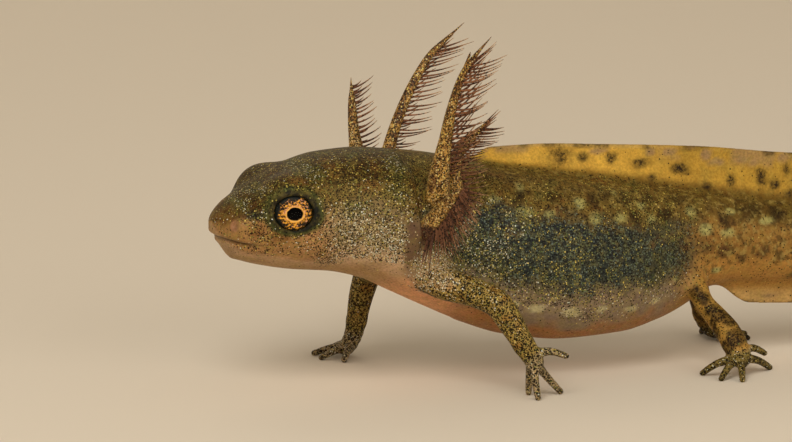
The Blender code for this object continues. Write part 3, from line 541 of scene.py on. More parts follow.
def fin_field(p):
    """Distance to the thin sheet that both fins and the tail's end are cut from."""
    x, y, z = p.T
    _, top, bottom = body_section(np.minimum(x, BODY_END))
    rise = step(0, 1, (x - DORSAL_START) / DORSAL_RISE)
    upper = top - FIN_SINK + (smooth(DORSAL_EDGE, x) - top + FIN_SINK) * rise
    drop = step(0, 1, (x - VENTRAL_START) / VENTRAL_RISE)
    lower = bottom + FIN_SINK + (smooth(VENTRAL_EDGE, x) - bottom - FIN_SINK) * drop
    out = np.maximum((z - top) / np.maximum(upper - top, 0.3), (bottom - z) / np.maximum(bottom - lower, 0.3))
    half = FIN_ROOT + (FIN_EDGE - FIN_ROOT) * step(0, 0.9, out)
    half = half * (1 - 0.35 * step(BODY_END - 4, BODY_END, x))
    side = np.abs(y - sway(x)) - half
    edge = np.maximum(np.maximum(z - upper, lower - z), x - TIP)
    within = np.hypot(np.maximum(side + half, 0), np.maximum(edge + half, 0)) - half
    return np.maximum(within, np.maximum(DORSAL_START - x, side))


def ellipsoid_field(p, centre, radii):
    away = p - centre
    size = np.linalg.norm(away / np.array(radii), axis=1)
    return np.linalg.norm(away, axis=1) * (1 - 1 / np.maximum(size, 1e-3))


class Path:
    """A smooth curve through rows of x, y, z and radius."""

    def __init__(self, rows):
        self.rows = [np.array(row, float) for row in rows]

    def at(self, t):
        """Point and radius at a share of the curve, from 0 to 1."""
        last = len(self.rows) - 1
        place = min(max(t, 0.0), 1.0) * last
        k = min(int(place), last - 1)
        u = place - k
        a, b, c, d = (self.rows[min(max(k + j, 0), last)] for j in (-1, 0, 1, 2))
        curve = (2 * b + (c - a) * u + (2 * a - 5 * b + 4 * c - d) * u * u
                 + (3 * b - a - 3 * c + d) * u ** 3) / 2
        return curve[:3], float(b[3] + (c[3] - b[3]) * u)

    def direction(self, t, reach=0.02):
        way = self.at(t + reach)[0] - self.at(t - reach)[0]
        return way / np.linalg.norm(way)

    def pieces(self, count):
        spots = [self.at(k / count) for k in range(count + 1)]
        return list(zip(spots[:-1], spots[1:]))


def cone_field(p, pieces, thin=None, flatten=1.0):
    """Distance to a chain of round-ended cones, which may be flattened along a direction."""
    best = np.full(len(p), FAR)
    for (start, first), (end, last) in pieces:
        way = end - start
        share = np.clip((p - start) @ way / max(way @ way, 1e-9), 0, 1)
        away = p - start - share[:, None] * way
        if thin is not None:
            across = away @ thin
            away = away + np.outer(across * (1 / flatten - 1), thin)
        best = np.minimum(best, np.linalg.norm(away, axis=1) - first - share * (last - first))
    return best


def nearby(p, rows, margin, field):
    """The field near some points, and a large value everywhere else."""
    rows = np.array([row[:3] for row in rows])
    inside = np.all((p > rows.min(axis=0) - margin) & (p < rows.max(axis=0) + margin), axis=1)
    out = np.full(len(p), FAR)
    if inside.any():
        out[inside] = field(p[inside])
    return out


def leg_field(p, spec):
    thin = np.array(spec["thin"], float)
    thin /= np.linalg.norm(thin)
    limb = Path(spec["path"]).pieces(LIMB_PIECES)
    palm = Path(spec["palm"]).pieces(PALM_PIECES)
    digits = []
    for digit in spec["digits"]:
        rows = [(*point, radius) for point, radius in zip(digit, DIGIT_RADII)]
        digits.append(Path(rows).pieces(DIGIT_PIECES))
    corners = list(spec["path"]) + [point for digit in spec["digits"] for point in digit]

    def field(q):
        hand = cone_field(q, palm, thin, PALM_FLATTEN)
        for pieces in digits:
            hand = merged(hand, cone_field(q, pieces), DIGIT_FILLET)
        return merged(cone_field(q, limb), hand, PALM_FILLET)

    return nearby(p, corners, LEG_MARGIN, field)


def collar_field(p, spec):
    """The skin round the root of a gill stalk, which sinks into the stalk as it rises."""
    path = Path(spec["path"])
    spots = []
    for k in range(COLLAR_PIECES + 1):
        point, radius = path.at(COLLAR * k / COLLAR_PIECES)
        spots.append((point, radius * (1.06 - 0.5 * (k / COLLAR_PIECES) ** 2)))
    pieces = list(zip(spots[:-1], spots[1:]))
    return nearby(p, [spot[0] for spot in spots], GILL_MARGIN, lambda q: cone_field(q, pieces))


def skin_field(p):
    """Signed distance to the whole skin, near enough for finding its surface."""
    distance = body_field(p)
    for side in (LEFT, RIGHT):
        orbit = on_side(ORBIT, side)
        bulge = nearby(p, [orbit], ORBIT_MARGIN, lambda q: ellipsoid_field(q, orbit, ORBIT_RADII))
        distance = merged(distance, bulge, ORBIT_FILLET)
    distance = merged(distance, fin_field(p), FIN_FILLET)
    for spec in GILLS.values():
        distance = merged(distance, collar_field(p, spec), GILL_FILLET)
    for spec in LEGS.values():
        distance = merged(distance, leg_field(p, spec), LEG_FILLET)
    for side in (LEFT, RIGHT):
        socket = nearby(p, [on_side(EYE, side)], EYE_MARGIN, lambda q: eye_field(q, side))
        distance = -merged(-distance, socket, EYE_FILLET)
    return distance


def eye_axes(side):
    """The way an eye looks, with the directions across it and up."""
    turn = math.radians(EYE_TURN)
    look = np.array((-math.sin(turn), side * math.cos(turn), 0.0))
    across = np.array((math.cos(turn), side * math.sin(turn), 0.0))
    return look, across, np.array((0.0, 0.0, 1.0))


def eye_field(p, side):
    """Distance to the opening for an eye: a rounded rod along its axis."""
    look, across, up = eye_axes(side)
    away = p - on_side(EYE, side)
    ring = np.hypot(away @ across / RIM_RADII[0], away @ up / RIM_RADII[1])
    size = np.hypot(away @ across, away @ up)
    wall = size * (1 - 1 / np.maximum(ring, 1e-3))
    return np.maximum(wall, SOCKET_FLOOR - away @ look)


def slope(field, p, reach=0.012):
    parts = []
    for axis in range(3):
        shift = np.zeros(3)
        shift[axis] = reach
        parts.append((field(p + shift) - field(p - shift)) / (2 * reach))
    return np.stack(parts, axis=1)


def pulled(field, p, rounds, most=0.08):
    """Moves points onto a field's surface."""
    for _ in range(rounds):
        grade = slope(field, p)
        steep = np.maximum((grade ** 2).sum(axis=1), 0.15)
        move = -(field(p) / steep)[:, None] * grade
        length = np.linalg.norm(move, axis=1)
        p = p + move * np.minimum(1, most / np.maximum(length, 1e-9))[:, None]
    return p


def net_lines():
    """Where the net's planes cross the x axis, closer together where the form is finer."""
    lines = [NET_START]
    for limit, size in NET_STEPS:
        count = round((limit - lines[-1]) / size)
        start = lines[-1]
        lines += [start + (limit - start) * (k + 1) / count for k in range(count)]
    return np.array(lines)


def surface_net(field):
    """Points in the cells that a surface crosses, and the quads between them."""
    xs = net_lines()
    ys = np.arange(NET_LOW[0], NET_HIGH[0], NET_ACROSS)
    zs = np.arange(NET_LOW[1], NET_HIGH[1], NET_ACROSS)
    values = np.empty((len(xs), len(ys), len(zs)), np.float32)
    for k, x in enumerate(xs):
        plane = np.stack(np.meshgrid([x], ys, zs, indexing="ij"), axis=-1).reshape(-1, 3)
        values[k] = field(plane).reshape(len(ys), len(zs))
    inside = values < 0
    fill_pinches(inside)
    shape = tuple(n - 1 for n in inside.shape)
    count = np.zeros(shape, np.int8)
    for i, j, k in itertools.product((0, 1), repeat=3):
        count += inside[i:i + shape[0], j:j + shape[1], k:k + shape[2]]
    crossed = (count > 0) & (count < 8)
    number = np.full(shape, -1, np.int64)
    cells = np.argwhere(crossed)
    number[crossed] = np.arange(len(cells))
    middles = [(axis[:-1] + axis[1:]) / 2 for axis in (xs, ys, zs)]
    points = np.stack([middles[axis][cells[:, axis]] for axis in range(3)], axis=1)
    return points, np.concatenate([net_quads(inside, number, axis) for axis in range(3)])


def fill_pinches(inside):
    """Fills the net's corners where two parts of the surface would touch along an edge."""
    for a, b in ((0, 1), (0, 2), (1, 2)) * 3:
        squares = []
        for i, j in itertools.product((0, 1), repeat=2):
            cut = [slice(None)] * 3
            cut[a] = slice(i, inside.shape[a] - 1 + i)
            cut[b] = slice(j, inside.shape[b] - 1 + j)
            squares.append(inside[tuple(cut)])
        pinched = (squares[0] == squares[3]) & (squares[1] == squares[2]) & (squares[0] != squares[1])
        for square in squares:
            square |= pinched


def net_quads(inside, number, axis):
    """A quad round each edge along one axis whose two ends lie on different sides of the surface."""
    here = [slice(1, -1)] * 3
    here[axis] = slice(0, -1)
    there = [slice(1, -1)] * 3
    there[axis] = slice(1, None)
    first = inside[tuple(here)]
    second = inside[tuple(there)]
    spots = np.argwhere(first != second)
    leaving = first[tuple(spots.T)]
    for other in range(3):
        if other != axis:
            spots[:, other] += 1
    a, b = [other for other in range(3) if other != axis]
    corners = []
    for back_a, back_b in ((1, 1), (0, 1), (0, 0), (1, 0)):
        cell = spots.copy()
        cell[:, a] -= back_a
        cell[:, b] -= back_b
        corners.append(number[tuple(cell.T)])
    quads = np.stack(corners, axis=1)
    flip = leaving if axis == 1 else ~leaving
    quads[flip] = quads[flip][:, ::-1]
    return quads


def relaxed(points, quads, share):
    """Moves each point part of the way to the mean of its neighbours."""
    total = np.zeros_like(points)
    count = np.zeros(len(points))
    for k in range(4):
        start = quads[:, k]
        for end in (quads[:, (k + 1) % 4], quads[:, (k - 1) % 4]):
            np.add.at(total, start, points[end])
            np.add.at(count, start, 1)
    return points + share * (total / np.maximum(count, 1)[:, None] - points)


def make_mesh(name, points, faces):
    """A smooth piece from points in millimetres of the body's own frame."""
    mesh = bpy.data.meshes.new(name)
    place = np.asarray(points) * MM + np.array(SHIFT)
    mesh.from_pydata(place.tolist(), [], [tuple(int(i) for i in face) for face in faces])
    mesh.validate()
    mesh.shade_smooth()
    item = bpy.data.objects.new(name, mesh)
    bpy.context.scene.collection.objects.link(item)
    return item


def add_mask(item, name, values):
    layer = item.data.attributes.new(name, "FLOAT", "POINT")
    layer.data.foreach_set("value", np.asarray(values, np.float32))


def grooves(along, pitch):
    """Narrow peaks from 0 to 1, a pitch apart."""
    return np.maximum(0, np.cos(2 * math.pi * along / pitch)) ** GROOVE_SHARPNESS


def folds(p):
    """How far the skin moves out at each point for its mouth, lips, nostrils and small folds."""
    x, _, z = p.T
    lift = np.zeros(len(p))
    mouth = z - smooth(MOUTH, x)
    fade = step(MOUTH_CORNER, MOUTH_CORNER - 0.9, x)
    lift -= MOUTH_DEPTH * np.exp(-(mouth / MOUTH_WIDTH) ** 2) * fade
    lift += LIP_SWELL * np.exp(-((np.abs(mouth) - LIP_WIDTH) / LIP_EDGE) ** 2) * fade
    for side in (LEFT, RIGHT):
        away = np.linalg.norm(p - on_side(NOSTRIL, side), axis=1)
        rim = NOSTRIL_SWELL * np.exp(-((away - NOSTRIL_RIM) / NOSTRIL_WIDTH) ** 2)
        lift += rim - NOSTRIL_DEPTH * np.exp(-(away / NOSTRIL_WIDTH) ** 2)
    _, top, bottom = body_section(x)
    height = (z - bottom) / np.maximum(top - bottom, 0.2)
    flank = step(0.12, 0.4, height) * step(1.0, 0.75, height) * step(10.8, 12.5, x) * step(23.5, 21.5, x)
    lift -= RIB_DEPTH * flank * grooves(x + 0.25 * height, RIB_PITCH)
    rear = step(24.5, 27.0, x) * step(46, 40, x) * step(0.02, 0.3, height) * step(0.98, 0.7, height)
    lift -= TAIL_DEPTH * rear * grooves(x + TAIL_SLANT * np.abs(height - 0.5), TAIL_PITCH)
    return lift


def tone(colour):
    """A screen colour as linear light."""
    share = np.array(colour, float) / 255
    return np.where(share <= 0.04045, share / 12.92, ((share + 0.055) / 1.055) ** 2.4)


def haze(p, size, seed):
    """Smooth random values from -1 to 1 that change over about that many millimetres."""
    table = np.random.default_rng(seed).uniform(-1, 1, (HAZE_CELLS,) * 3)
    cell = p / size + 100
    base = np.floor(cell).astype(int)
    u = cell - base
    u = u * u * (3 - 2 * u)
    total = np.zeros(len(p))
    for corner in itertools.product((0, 1), repeat=3):
        weight = np.prod(np.where(corner, u, 1 - u), axis=1)
        total += weight * table[tuple(((base + corner) % HAZE_CELLS).T)]
    return total


def covered(p, colour):
    """One colour for all the points."""
    return np.tile(tone(colour), (len(p), 1))


def blended(ground, other, share):
    return ground + (other - ground) * share[:, None]


def layered(ground, value, *layers):
    """Paints colours one over another, each where the value rises past its limits."""
    for colour, low, high in layers:
        ground = blended(ground, tone(colour), step(low, high, value))
    return ground


def marked(p, marks, seed, soft=0.5, size=1.0):
    """Share of a blotch at each point, for a row of blotches with uneven edges."""
    x, y, z = p.T
    x = x - RIGHT_MARK_SHIFT * (y > sway(x))
    uneven = 0.45 * haze(p, 0.42, seed) + 0.30 * haze(p, 0.19, seed + 30)
    share = np.zeros(len(p))
    for place, height, length, depth in marks:
        away = np.hypot((x - place) / length, (z - height) / depth) / size + uneven
        share = np.maximum(share, step(1.0 + soft, 1.0 - soft, away))
    return share


def ground_colour(p, part):
    """The skin's colour without its specks, from the place of each point."""
    x, _, z = p.T
    rise = part["rise"] + 0.07 * haze(p, 1.3, 1) + 0.04 * haze(p, 0.5, 2)
    along = x + 0.5 * haze(p, 1.1, 3)
    # The front of the trunk turns to the chest's colour: pale skin, partly painted light
    plain = layered(covered(p, BELLY), -along, (CHEST_WITH_PAINTED_LIGHT, -12.5, -10.0))
    trunk = layered(plain, rise, (BAND, 0.06, 0.20), (FLANK, 0.27, 0.42), (BACK, 0.68, 0.82))
    tail = layered(covered(p, TAIL_LOW), rise, (TAIL, 0.22, 0.48), (TAIL_HIGH, 0.62, 0.84))
    trunk = blended(trunk, tail, step(21.6, 24.0, along - 3 * np.maximum(0, rise - 0.6)))
    # Behind the head the throat turns to the chest's colour: pale skin, partly painted light
    head = layered(covered(p, THROAT), along, (CHEST_WITH_PAINTED_LIGHT, 6.8, 9.0))
    # The jaw's colour is partly its pale skin and partly painted light from below
    head = layered(head, rise, (JAW_WITH_PAINTED_LIGHT, 0.05, 0.20), (CHEEK, 0.22, 0.36), (TEMPLE, 0.52, 0.68),
                   (CROWN, 0.72, 0.88))
    front = layered(head, rise, (CHEEK_FRONT, 0.10, 0.24), (TEMPLE, 0.50, 0.64), (CROWN, 0.72, 0.88))
    head = blended(head, front, step(5.6, 4.2, along))
    snout = layered(head, rise, (SNOUT, 0.14, 0.30), (CROWN, 0.62, 0.85))
    head = blended(head, snout, step(4.6, 2.6, along))
    ground = blended(trunk, head, step(9.1, 8.5, along))
    upper_side = step(0.42, 0.62, part["rise"]) * step(30, 24, x)
    warmth = 0.7 * haze(p, 0.9, 16) + 0.5 * haze(p, 0.4, 17)
    front = step(9.0, 8.4, x)
    for value, *layers in (
            (warmth * upper_side, (WARM, 0.10, 1.1)),
            (-warmth * upper_side, (MOSS, 0.10, 1.3)),
            (marked(p, WARM_MARKS, 18) * front, (WARM, 0.0, 1.6)),
            (marked(p, MOSS_MARKS, 19) * front, (MOSS, 0.0, 1.8)),
            # pale chest strip under the neck: its pinkish skin and painted light
            (part["chest"], (CHEST_WITH_PAINTED_LIGHT, 0.0, 1.2)),
            (part["fold"], (FOLD, 0.0, 1.05)),
            (marked(p, PALE_MARKS, 4, 0.6, 0.85) * part["side"], (PALE_BLOTCH, 0.0, 1.15)),
            (marked(p, BELLY_MARKS, 20, 0.6), (BELLY_SPOT, 0.0, 1.1)),
            (marked(p, BROWN_MARKS, 21, 0.6) * part["side"], (BROWN_BLOTCH, 0.0, 1.2)),
            (part["lip"], (LIP, 0.0, 1.3)),
            # painted shade along the mouth's groove
            (part["mouth"], (MOUTH_GROOVE_SHADE, 0.0, 1.3)),
            (part["nostril"], (NOSTRIL_SPOT, 0.0, 1.1)),
            (part["patch"], (DARK_PATCH, 0.0, 1.2)),
            (part["eye"] + 0.06 * haze(p, 0.3, 9), (EYE_GREEN, -1.36, -1.12), (EYE_RING, -1.10, -0.98))):
        ground = layered(ground, value, *layers)
    upper = layered(covered(p, FIN_BASE), part["out"], (FIN, 0.05, 0.36), (FIN_HEM, 0.84, 1.0))
    upper = layered(upper, step(17.5, 25, x) * step(0.05, 0.4, part["out"]), (FIN_REAR, 0.0, 1.4))
    hem = 0.8 * step(0.1, 0.7, haze(p, 0.8, 23)) * step(0.5, 0.8, part["out"])
    mottle = np.maximum(marked(p, FIN_GREYS, 22, 0.7), hem)
    lower = layered(covered(p, TAIL_LOW), part["out"], (LOW_FIN, 0.1, 0.6))
    upper, lower = (layered(side, mottle, (FIN_MOTTLE, 0.0, 1.2)) for side in (upper, lower))
    fin = np.where((z > (part["top"] + part["bottom"]) / 2)[:, None], upper, lower)
    ground = blended(ground, fin, part["fin"])
    fore = part["fore"] * (1 - 0.7 * part["shoulder"])
    for value, layer in (
            (part["shoulder"], (SHOULDER, 0.0, 1.2)),
            (fore, (FORE_SKIN, 0.0, 1.0)),
            (fore * step(0.0, 0.8, haze(p, 0.42, 24)), (FORE_WARM, 0.0, 1.4)),
            (part["hind"], (HIND_SKIN, 0.0, 1.0)),
            (part["digit"], (DIGIT_SKIN, 0.0, 1.1)),
            (part["digit"] * step(18, 20, x), (HIND_DIGIT, 0.0, 1.1)),
            (part["collar"], (STALK, 0.0, 1.0)),
            (part["low_collar"], (FILAMENT_DARK, 0.0, 1.0))):
        ground = layered(ground, value, layer)
    return ground


def skin_parts(p):
    """Where each point is on the body: shares from 0 to 1, for its colours and specks."""
    x, y, z = p.T
    _, top, bottom = body_section(np.minimum(x, BODY_END))
    plain = body_field(p)
    fins = fin_field(p)
    part = {"top": top, "bottom": bottom, "rise": (z - bottom) / np.maximum(top - bottom, 0.2)}
    part["fin"] = step(-0.05, 0.30, plain) * step(-0.3, 0.0, plain - fins)
    upper = np.maximum(smooth(DORSAL_EDGE, x), top + 0.2)
    lower = np.minimum(smooth(VENTRAL_EDGE, x), bottom - 0.2)
    part["out"] = np.clip(np.maximum((z - top) / (upper - top), (bottom - z) / (bottom - lower)), 0, 1)
    for key in ("fore", "hind", "digit", "collar", "nostril", "patch"):
        part[key] = np.zeros(len(p))
    for name, spec in LEGS.items():
        share = step(-0.7, 0.5, plain - leg_field(p, spec)) * step(0.0, 0.5, plain)
        key = "fore" if name.startswith("fore") else "hind"
        part[key] = np.maximum(part[key], share)
        bones = Path(spec["path"]).pieces(LIMB_PIECES)
        limb = nearby(p, spec["path"], LIMB_MARGIN, lambda q: cone_field(q, bones))
        close = step(3.6, 2.6, np.linalg.norm(p - np.array(spec["palm"][1][:3]), axis=1))
        part["digit"] = np.maximum(part["digit"], share * close * step(0.05, 0.45, limb))
    for spec in GILLS.values():
        share = step(-0.25, 0.55, plain - collar_field(p, spec)) * step(0.15, 0.7, plain)
        part["collar"] = np.maximum(part["collar"], share)
    part["low_collar"] = part["collar"] * step(*STALK_LOW, z)
    away = np.full(len(p), FAR)
    for side in (LEFT, RIGHT):
        look, across, up = eye_axes(side)
        out = p - on_side(EYE, side)
        ring = np.hypot((out @ across - 0.04) / 1.15, (out @ up) * (1 + 0.14 * (out @ up < 0)))
        away = np.where((out @ look > -0.9) & (np.abs(x - EYE[0]) < 3), np.minimum(away, ring), away)
        hole = np.linalg.norm(p - on_side(NOSTRIL, side), axis=1)
        part["nostril"] = np.maximum(part["nostril"], step(0.34, 0.20, hole))
        spot = (p - on_side(SNOUT_PATCH, side)) / SNOUT_PATCH_RADII
        part["patch"] = np.maximum(part["patch"], step(1.25, 0.5, np.linalg.norm(spot, axis=1)))
    part["eye"] = -away
    fold = step(7.95, 8.35, x + 0.10 * haze(p, 0.5, 10)) * step(9.6, 9.1, x + 0.7 * (part["rise"] - 0.3))
    part["fold"] = fold * step(0.10, 0.28, part["rise"]) * step(0.66, 0.52, part["rise"])
    # A pale strip under the neck: the chest's pinkish skin, lightened as painted light where the neck shades
    # it
    part["chest"] = step(8.3, 9.3, x) * step(12.2, 10.0, x) * step(0.40, 0.20, part["rise"])
    away = np.linalg.norm((p - SHOULDER_PLACE) * (1, 0, 1), axis=1) + 0.2 * haze(p, 0.4, 25)
    part["shoulder"] = step(1.35, 0.55, away) * step(1.6, 2.4, np.abs(y))
    mouth = z - smooth(MOUTH, x)
    # A dark line along the mouth, as painted shade in its groove
    part["mouth"] = step(0.12, 0.02, np.abs(mouth)) * step(MOUTH_CORNER - 0.3, MOUTH_CORNER - 1.3, x)
    part["lip"] = step(0.16, 0.04, np.abs(mouth - 0.05)) * step(MOUTH_CORNER, MOUTH_CORNER - 1.0, x)
    part["side"] = step(0.3, 0.8, np.abs(y - sway(x)) / np.maximum(body_section(x)[0], 0.2))
    return part


def speck_shares(p, part):
    """How dense each kind of speck is at each point."""
    x, y, z = p.T
    rise = part["rise"] + 0.08 * haze(p, 1.2, 5) + 0.05 * haze(p, 0.45, 6)
    head = step(9.1, 8.5, x)
    tail = step(22.0, 25.0, x)
    trunk = (1 - head) * (1 - tail)
    flank = step(0.28, 0.42, rise) * step(0.84, 0.70, rise) * trunk
    low_flank = step(0.14, 0.24, rise) * step(0.42, 0.30, rise) * trunk
    back = step(0.68, 0.82, rise) * (1 - head)
    jaw_line = 0.13 + 0.08 * step(5.5, 8.0, x) + 0.05 * step(2.5, 1.2, x)
    cheek = step(jaw_line, jaw_line + 0.07, rise) * head * step(0.9, 1.6, x)
    crown = step(0.62, 0.80, rise) * head
    patches = 0.5 + 0.5 * haze(p, 0.8, 7)
    clusters = 0.6 * haze(p, 0.42, 12) + 0.7 * haze(p, 1.3, 13)
    ink = marked(p, INK_MARKS, 26, 0.6)
    bright = step(-0.35, 0.75, clusters + 0.5 * step(14.5, 12.0, x)) * (1 - 0.75 * ink)
    under_eye = step(0.55, 0.35, rise) * step(4.6, 3.6, x) * head
    tip = step(2.4, 1.4, x) * step(0.10, 0.25, rise)
    near = 1 - 0.55 * step(15.5, 20.5, x)
    dark = 0.03 + (0.85 - 0.40 * under_eye) * cheek - 0.15 * crown * step(6, 4, x)
    dark += 0.60 * flank + 0.45 * near * low_flank
    dark += 0.42 * back * (1 - flank) * (1 - tail) + 0.06 * tail + 0.20 * tip
    dark += 0.4 * step(8.3, 9.0, x) * step(10.8, 10.0, x) * step(0.55, 0.64, rise)
    gold = 0.02 + 0.16 * cheek + 0.12 * crown
    gold += near * ((0.08 + 0.44 * bright) * flank + (0.12 + 0.34 * bright) * low_flank)
    gold += 0.10 * tip
    gold += 0.30 * back * bright * (1 - flank) * (1 - tail)
    rear_cheek = step(4.2, 5.8, x) * cheek * step(0.64, 0.46, rise)
    silver = 0.46 * rear_cheek + 0.06 * cheek * (1 - crown) + 0.02 * crown + 0.04 * tip + 0.10 * low_flank
    silver += 0.32 * flank * bright * step(16, 11.5, x)
    shine = step(1.5, 0.3, np.hypot((x - 12.9) * 0.8, z - 7.1)) * flank
    silver += 0.50 * shine * step(-0.4, 0.5, clusters)
    moss = marked(p, MOSS_MARKS, 19) * head
    silver += 0.18 * moss
    dark += 0.30 * moss
    body = (1 - part["fin"]) * (1 - part["fore"]) * (1 - part["hind"])
    dark = dark * (0.65 + 0.7 * patches) * body
    gold = gold * body
    silver = silver * (0.4 + 1.2 * (0.5 + 0.5 * haze(p, 0.7, 8))) * body
    dark += 0.95 * part["fore"] + 0.35 * part["hind"] + 0.02 * part["fin"]
    dark = np.maximum(dark, 0.60 * part["digit"])
    upper_arm = part["fore"] * step(4.0, 5.2, z)
    gold += 0.16 * part["fore"] + 0.05 * part["hind"]
    silver += 0.55 * part["shoulder"] + 0.04 * part["fore"] + 0.14 * upper_arm + 0.12 * part["digit"]
    bare = (1 - part["nostril"]) * (1 - 0.7 * part["lip"])
    bare = bare * (1 - 0.92 * part["fold"] * (1 - part["shoulder"]))
    bare = bare * (0.15 + 0.85 * step(-1.00, -1.22, part["eye"]))
    dark = np.maximum(dark * bare, 0.95 * part["collar"]) + 0.30 * part["patch"]
    silver = silver * bare + 0.16 * part["patch"]
    navy = flank * (0.95 - 0.55 * bright) * step(0.24, 0.40, rise) * step(9.9, 10.7, x)
    navy = navy * (1 - 0.35 * step(18.0, 21.5, x))
    stains = marked(p, DARK_MARKS, 14, 0.6) * part["side"] * (1 - part["fin"]) * (1 - part["hind"])
    dashes = 0.75 * step(0.84, 0.92, part["out"]) * step(0.15, 0.5, haze(p, 0.7, 27))
    fin_stains = np.maximum(marked(p + (0.06, 0, 0), FIN_MARKS, 15, 0.6, 1.15), dashes)
    stains = np.maximum(stains, fin_stains * step(0.3, 0.8, part["fin"]))
    uneven = 0.4 * haze(p, 0.22, 28)
    for *place, size in HIND_MARKS:
        away = np.linalg.norm(p - place, axis=1) / size + uneven
        stains = np.maximum(stains, step(1.75, 1.05, away) * part["hind"])
    blotch = 0.30 * part["fin"] + 0.25 * tail * (1 - part["fin"]) + (0.6 + 0.7 * (y > 0)) * part["hind"]
    mottled = (1 - head) * step(0.10, 0.30, rise) * (1 - 0.8 * flank) * (1 - part["fin"]) + 0.3 * crown
    mottled = np.clip(mottled, 0, 1) * (1 - part["fore"]) * (1 - part["hind"]) * (1 - 0.6 * low_flank)
    flecks = np.clip(0.90 * part["fore"] * (1 - part["shoulder"]) + 0.80 * part["digit"], 0, 0.90)
    return {"dark": dark, "gold": gold * bare, "silver": silver, "navy": navy, "blotch": blotch,
            "stains": stains, "mottled": mottled, "flecks": flecks}


def make_skin():
    points, quads = surface_net(skin_field)
    points = pulled(skin_field, points, 2)
    for _ in range(2):
        points = relaxed(points, quads, RELAXATION)
        points = pulled(skin_field, points, 1)
    normal = slope(skin_field, points)
    normal /= np.maximum(np.linalg.norm(normal, axis=1), 1e-6)[:, None]
    part = skin_parts(points)
    ground = ground_colour(points, part)
    shares = speck_shares(points, part)
    points = points + normal * folds(points)[:, None]
    points[:, 2] = np.maximum(points[:, 2], 0)
    skin = make_mesh("skin", points, quads)
    layer = skin.data.attributes.new("ground", "FLOAT_COLOR", "POINT")
    layer.data.foreach_set("color", np.hstack((ground, np.ones((len(ground), 1)))).ravel())
    for name, values in shares.items():
        add_mask(skin, name, values)
    skin.data.materials.append(skin_material())
    print("skin: %d points, %d quads" % (len(points), len(quads)))
    return skin


class Paint:
    """A material whose nodes are added by short calls. Any value may be a number or a node's output."""

    def __init__(self, name):
        self.material = bpy.data.materials.new(name)
        self.material.use_nodes = True
        self.tree = self.material.node_tree
        self.shader = self.tree.nodes["Principled BSDF"]
        place = self.node("ShaderNodeTexCoord").outputs["Object"]
        scaled = self.node("ShaderNodeVectorMath", operation="MULTIPLY_ADD")
        self.put(scaled.inputs[0], place)
        self.put(scaled.inputs[1], (1 / MM, 1 / MM, 1 / MM))
        self.put(scaled.inputs[2], tuple(-SHIFT / MM))
        self.place = scaled.outputs[0]

    def node(self, kind, **settings):
        node = self.tree.nodes.new(kind)
        for name, value in settings.items():
            setattr(node, name, value)
        return node

    def put(self, socket, value):
        if isinstance(value, bpy.types.NodeSocket):
            self.tree.links.new(value, socket)
        elif isinstance(value, tuple) and len(value) == 3 and socket.type == "RGBA":
            socket.default_value = (*tone(value), 1)
        else:
            socket.default_value = value

    def set(self, **values):
        for name, value in values.items():
            self.put(self.shader.inputs[name.replace("_", " ")], value)

    def attribute(self, name, output="Fac"):
        return self.node("ShaderNodeAttribute", attribute_name=name).outputs[output]

    def math(self, operation, a, b=0.0, clamp=False):
        node = self.node("ShaderNodeMath", operation=operation, use_clamp=clamp)
        self.put(node.inputs[0], a)
        self.put(node.inputs[1], b)
        return node.outputs[0]

    def times(self, a, b):
        return self.math("MULTIPLY", a, b)

    def ramp(self, value, low, high, first=0.0, last=1.0):
        node = self.node("ShaderNodeMapRange", interpolation_type="SMOOTHSTEP")
        for socket, item in zip(node.inputs, (value, low, high, first, last)):
            self.put(socket, item)
        return node.outputs[0]

    def mix(self, share, a, b, blend="MIX"):
        node = self.node("ShaderNodeMix", data_type="RGBA", blend_type=blend)
        for name, item in (("Factor_Float", share), ("A_Color", a), ("B_Color", b)):
            socket = next(s for s in node.inputs if s.identifier == name)
            self.put(socket, item)
        return next(s for s in node.outputs if s.identifier == "Result_Color")

    def noise(self, scale, detail=2.0, rough=0.5, place=None, distortion=0.0):
        node = self.node("ShaderNodeTexNoise")
        self.put(node.inputs["Vector"], place or self.place)
        for name, value in (("Scale", scale), ("Detail", detail), ("Roughness", rough),
                            ("Distortion", distortion)):
            self.put(node.inputs[name], value)
        return node.outputs["Fac"]

    def shifted(self, shift, stretch=(1.0, 1.0, 1.0)):
        """The place in millimetres, moved and stretched, for a pattern that doesn't repeat another."""
        node = self.node("ShaderNodeVectorMath", operation="MULTIPLY_ADD")
        for socket, item in zip(node.inputs, (self.place, stretch, shift)):
            self.put(socket, item)
        return node.outputs[0]

    def specks(self, size, share, small, large, shift=0.0):
        """Round specks in a share of random cells of about that size, and a random value for each."""
        cell = self.node("ShaderNodeTexVoronoi")
        self.put(cell.inputs["Vector"], self.shifted((shift, shift, shift)))
        self.put(cell.inputs["Scale"], 1 / size)
        own = self.node("ShaderNodeSeparateColor")
        self.put(own.inputs[0], cell.outputs["Color"])
        kept = self.math("LESS_THAN", own.outputs[0], share)
        reach = self.ramp(own.outputs[1], 0.0, 1.0, small, large)
        inner = self.times(reach, 0.72)
        spot = self.ramp(cell.outputs["Distance"], reach, inner)
        return self.times(kept, spot), own.outputs[2]

    def dotted(self, colour, dots, strength, *specks):
        """The colour under specks of one other colour."""
        spots, _ = self.specks(*specks)
        return self.mix(self.times(spots, strength), colour, dots)

    def bump(self, height, strength, distance):
        node = self.node("ShaderNodeBump")
        self.put(node.inputs["Strength"], strength)
        self.put(node.inputs["Distance"], distance * MM)
        self.put(node.inputs["Height"], height)
        self.put(self.shader.inputs["Normal"], node.outputs[0])


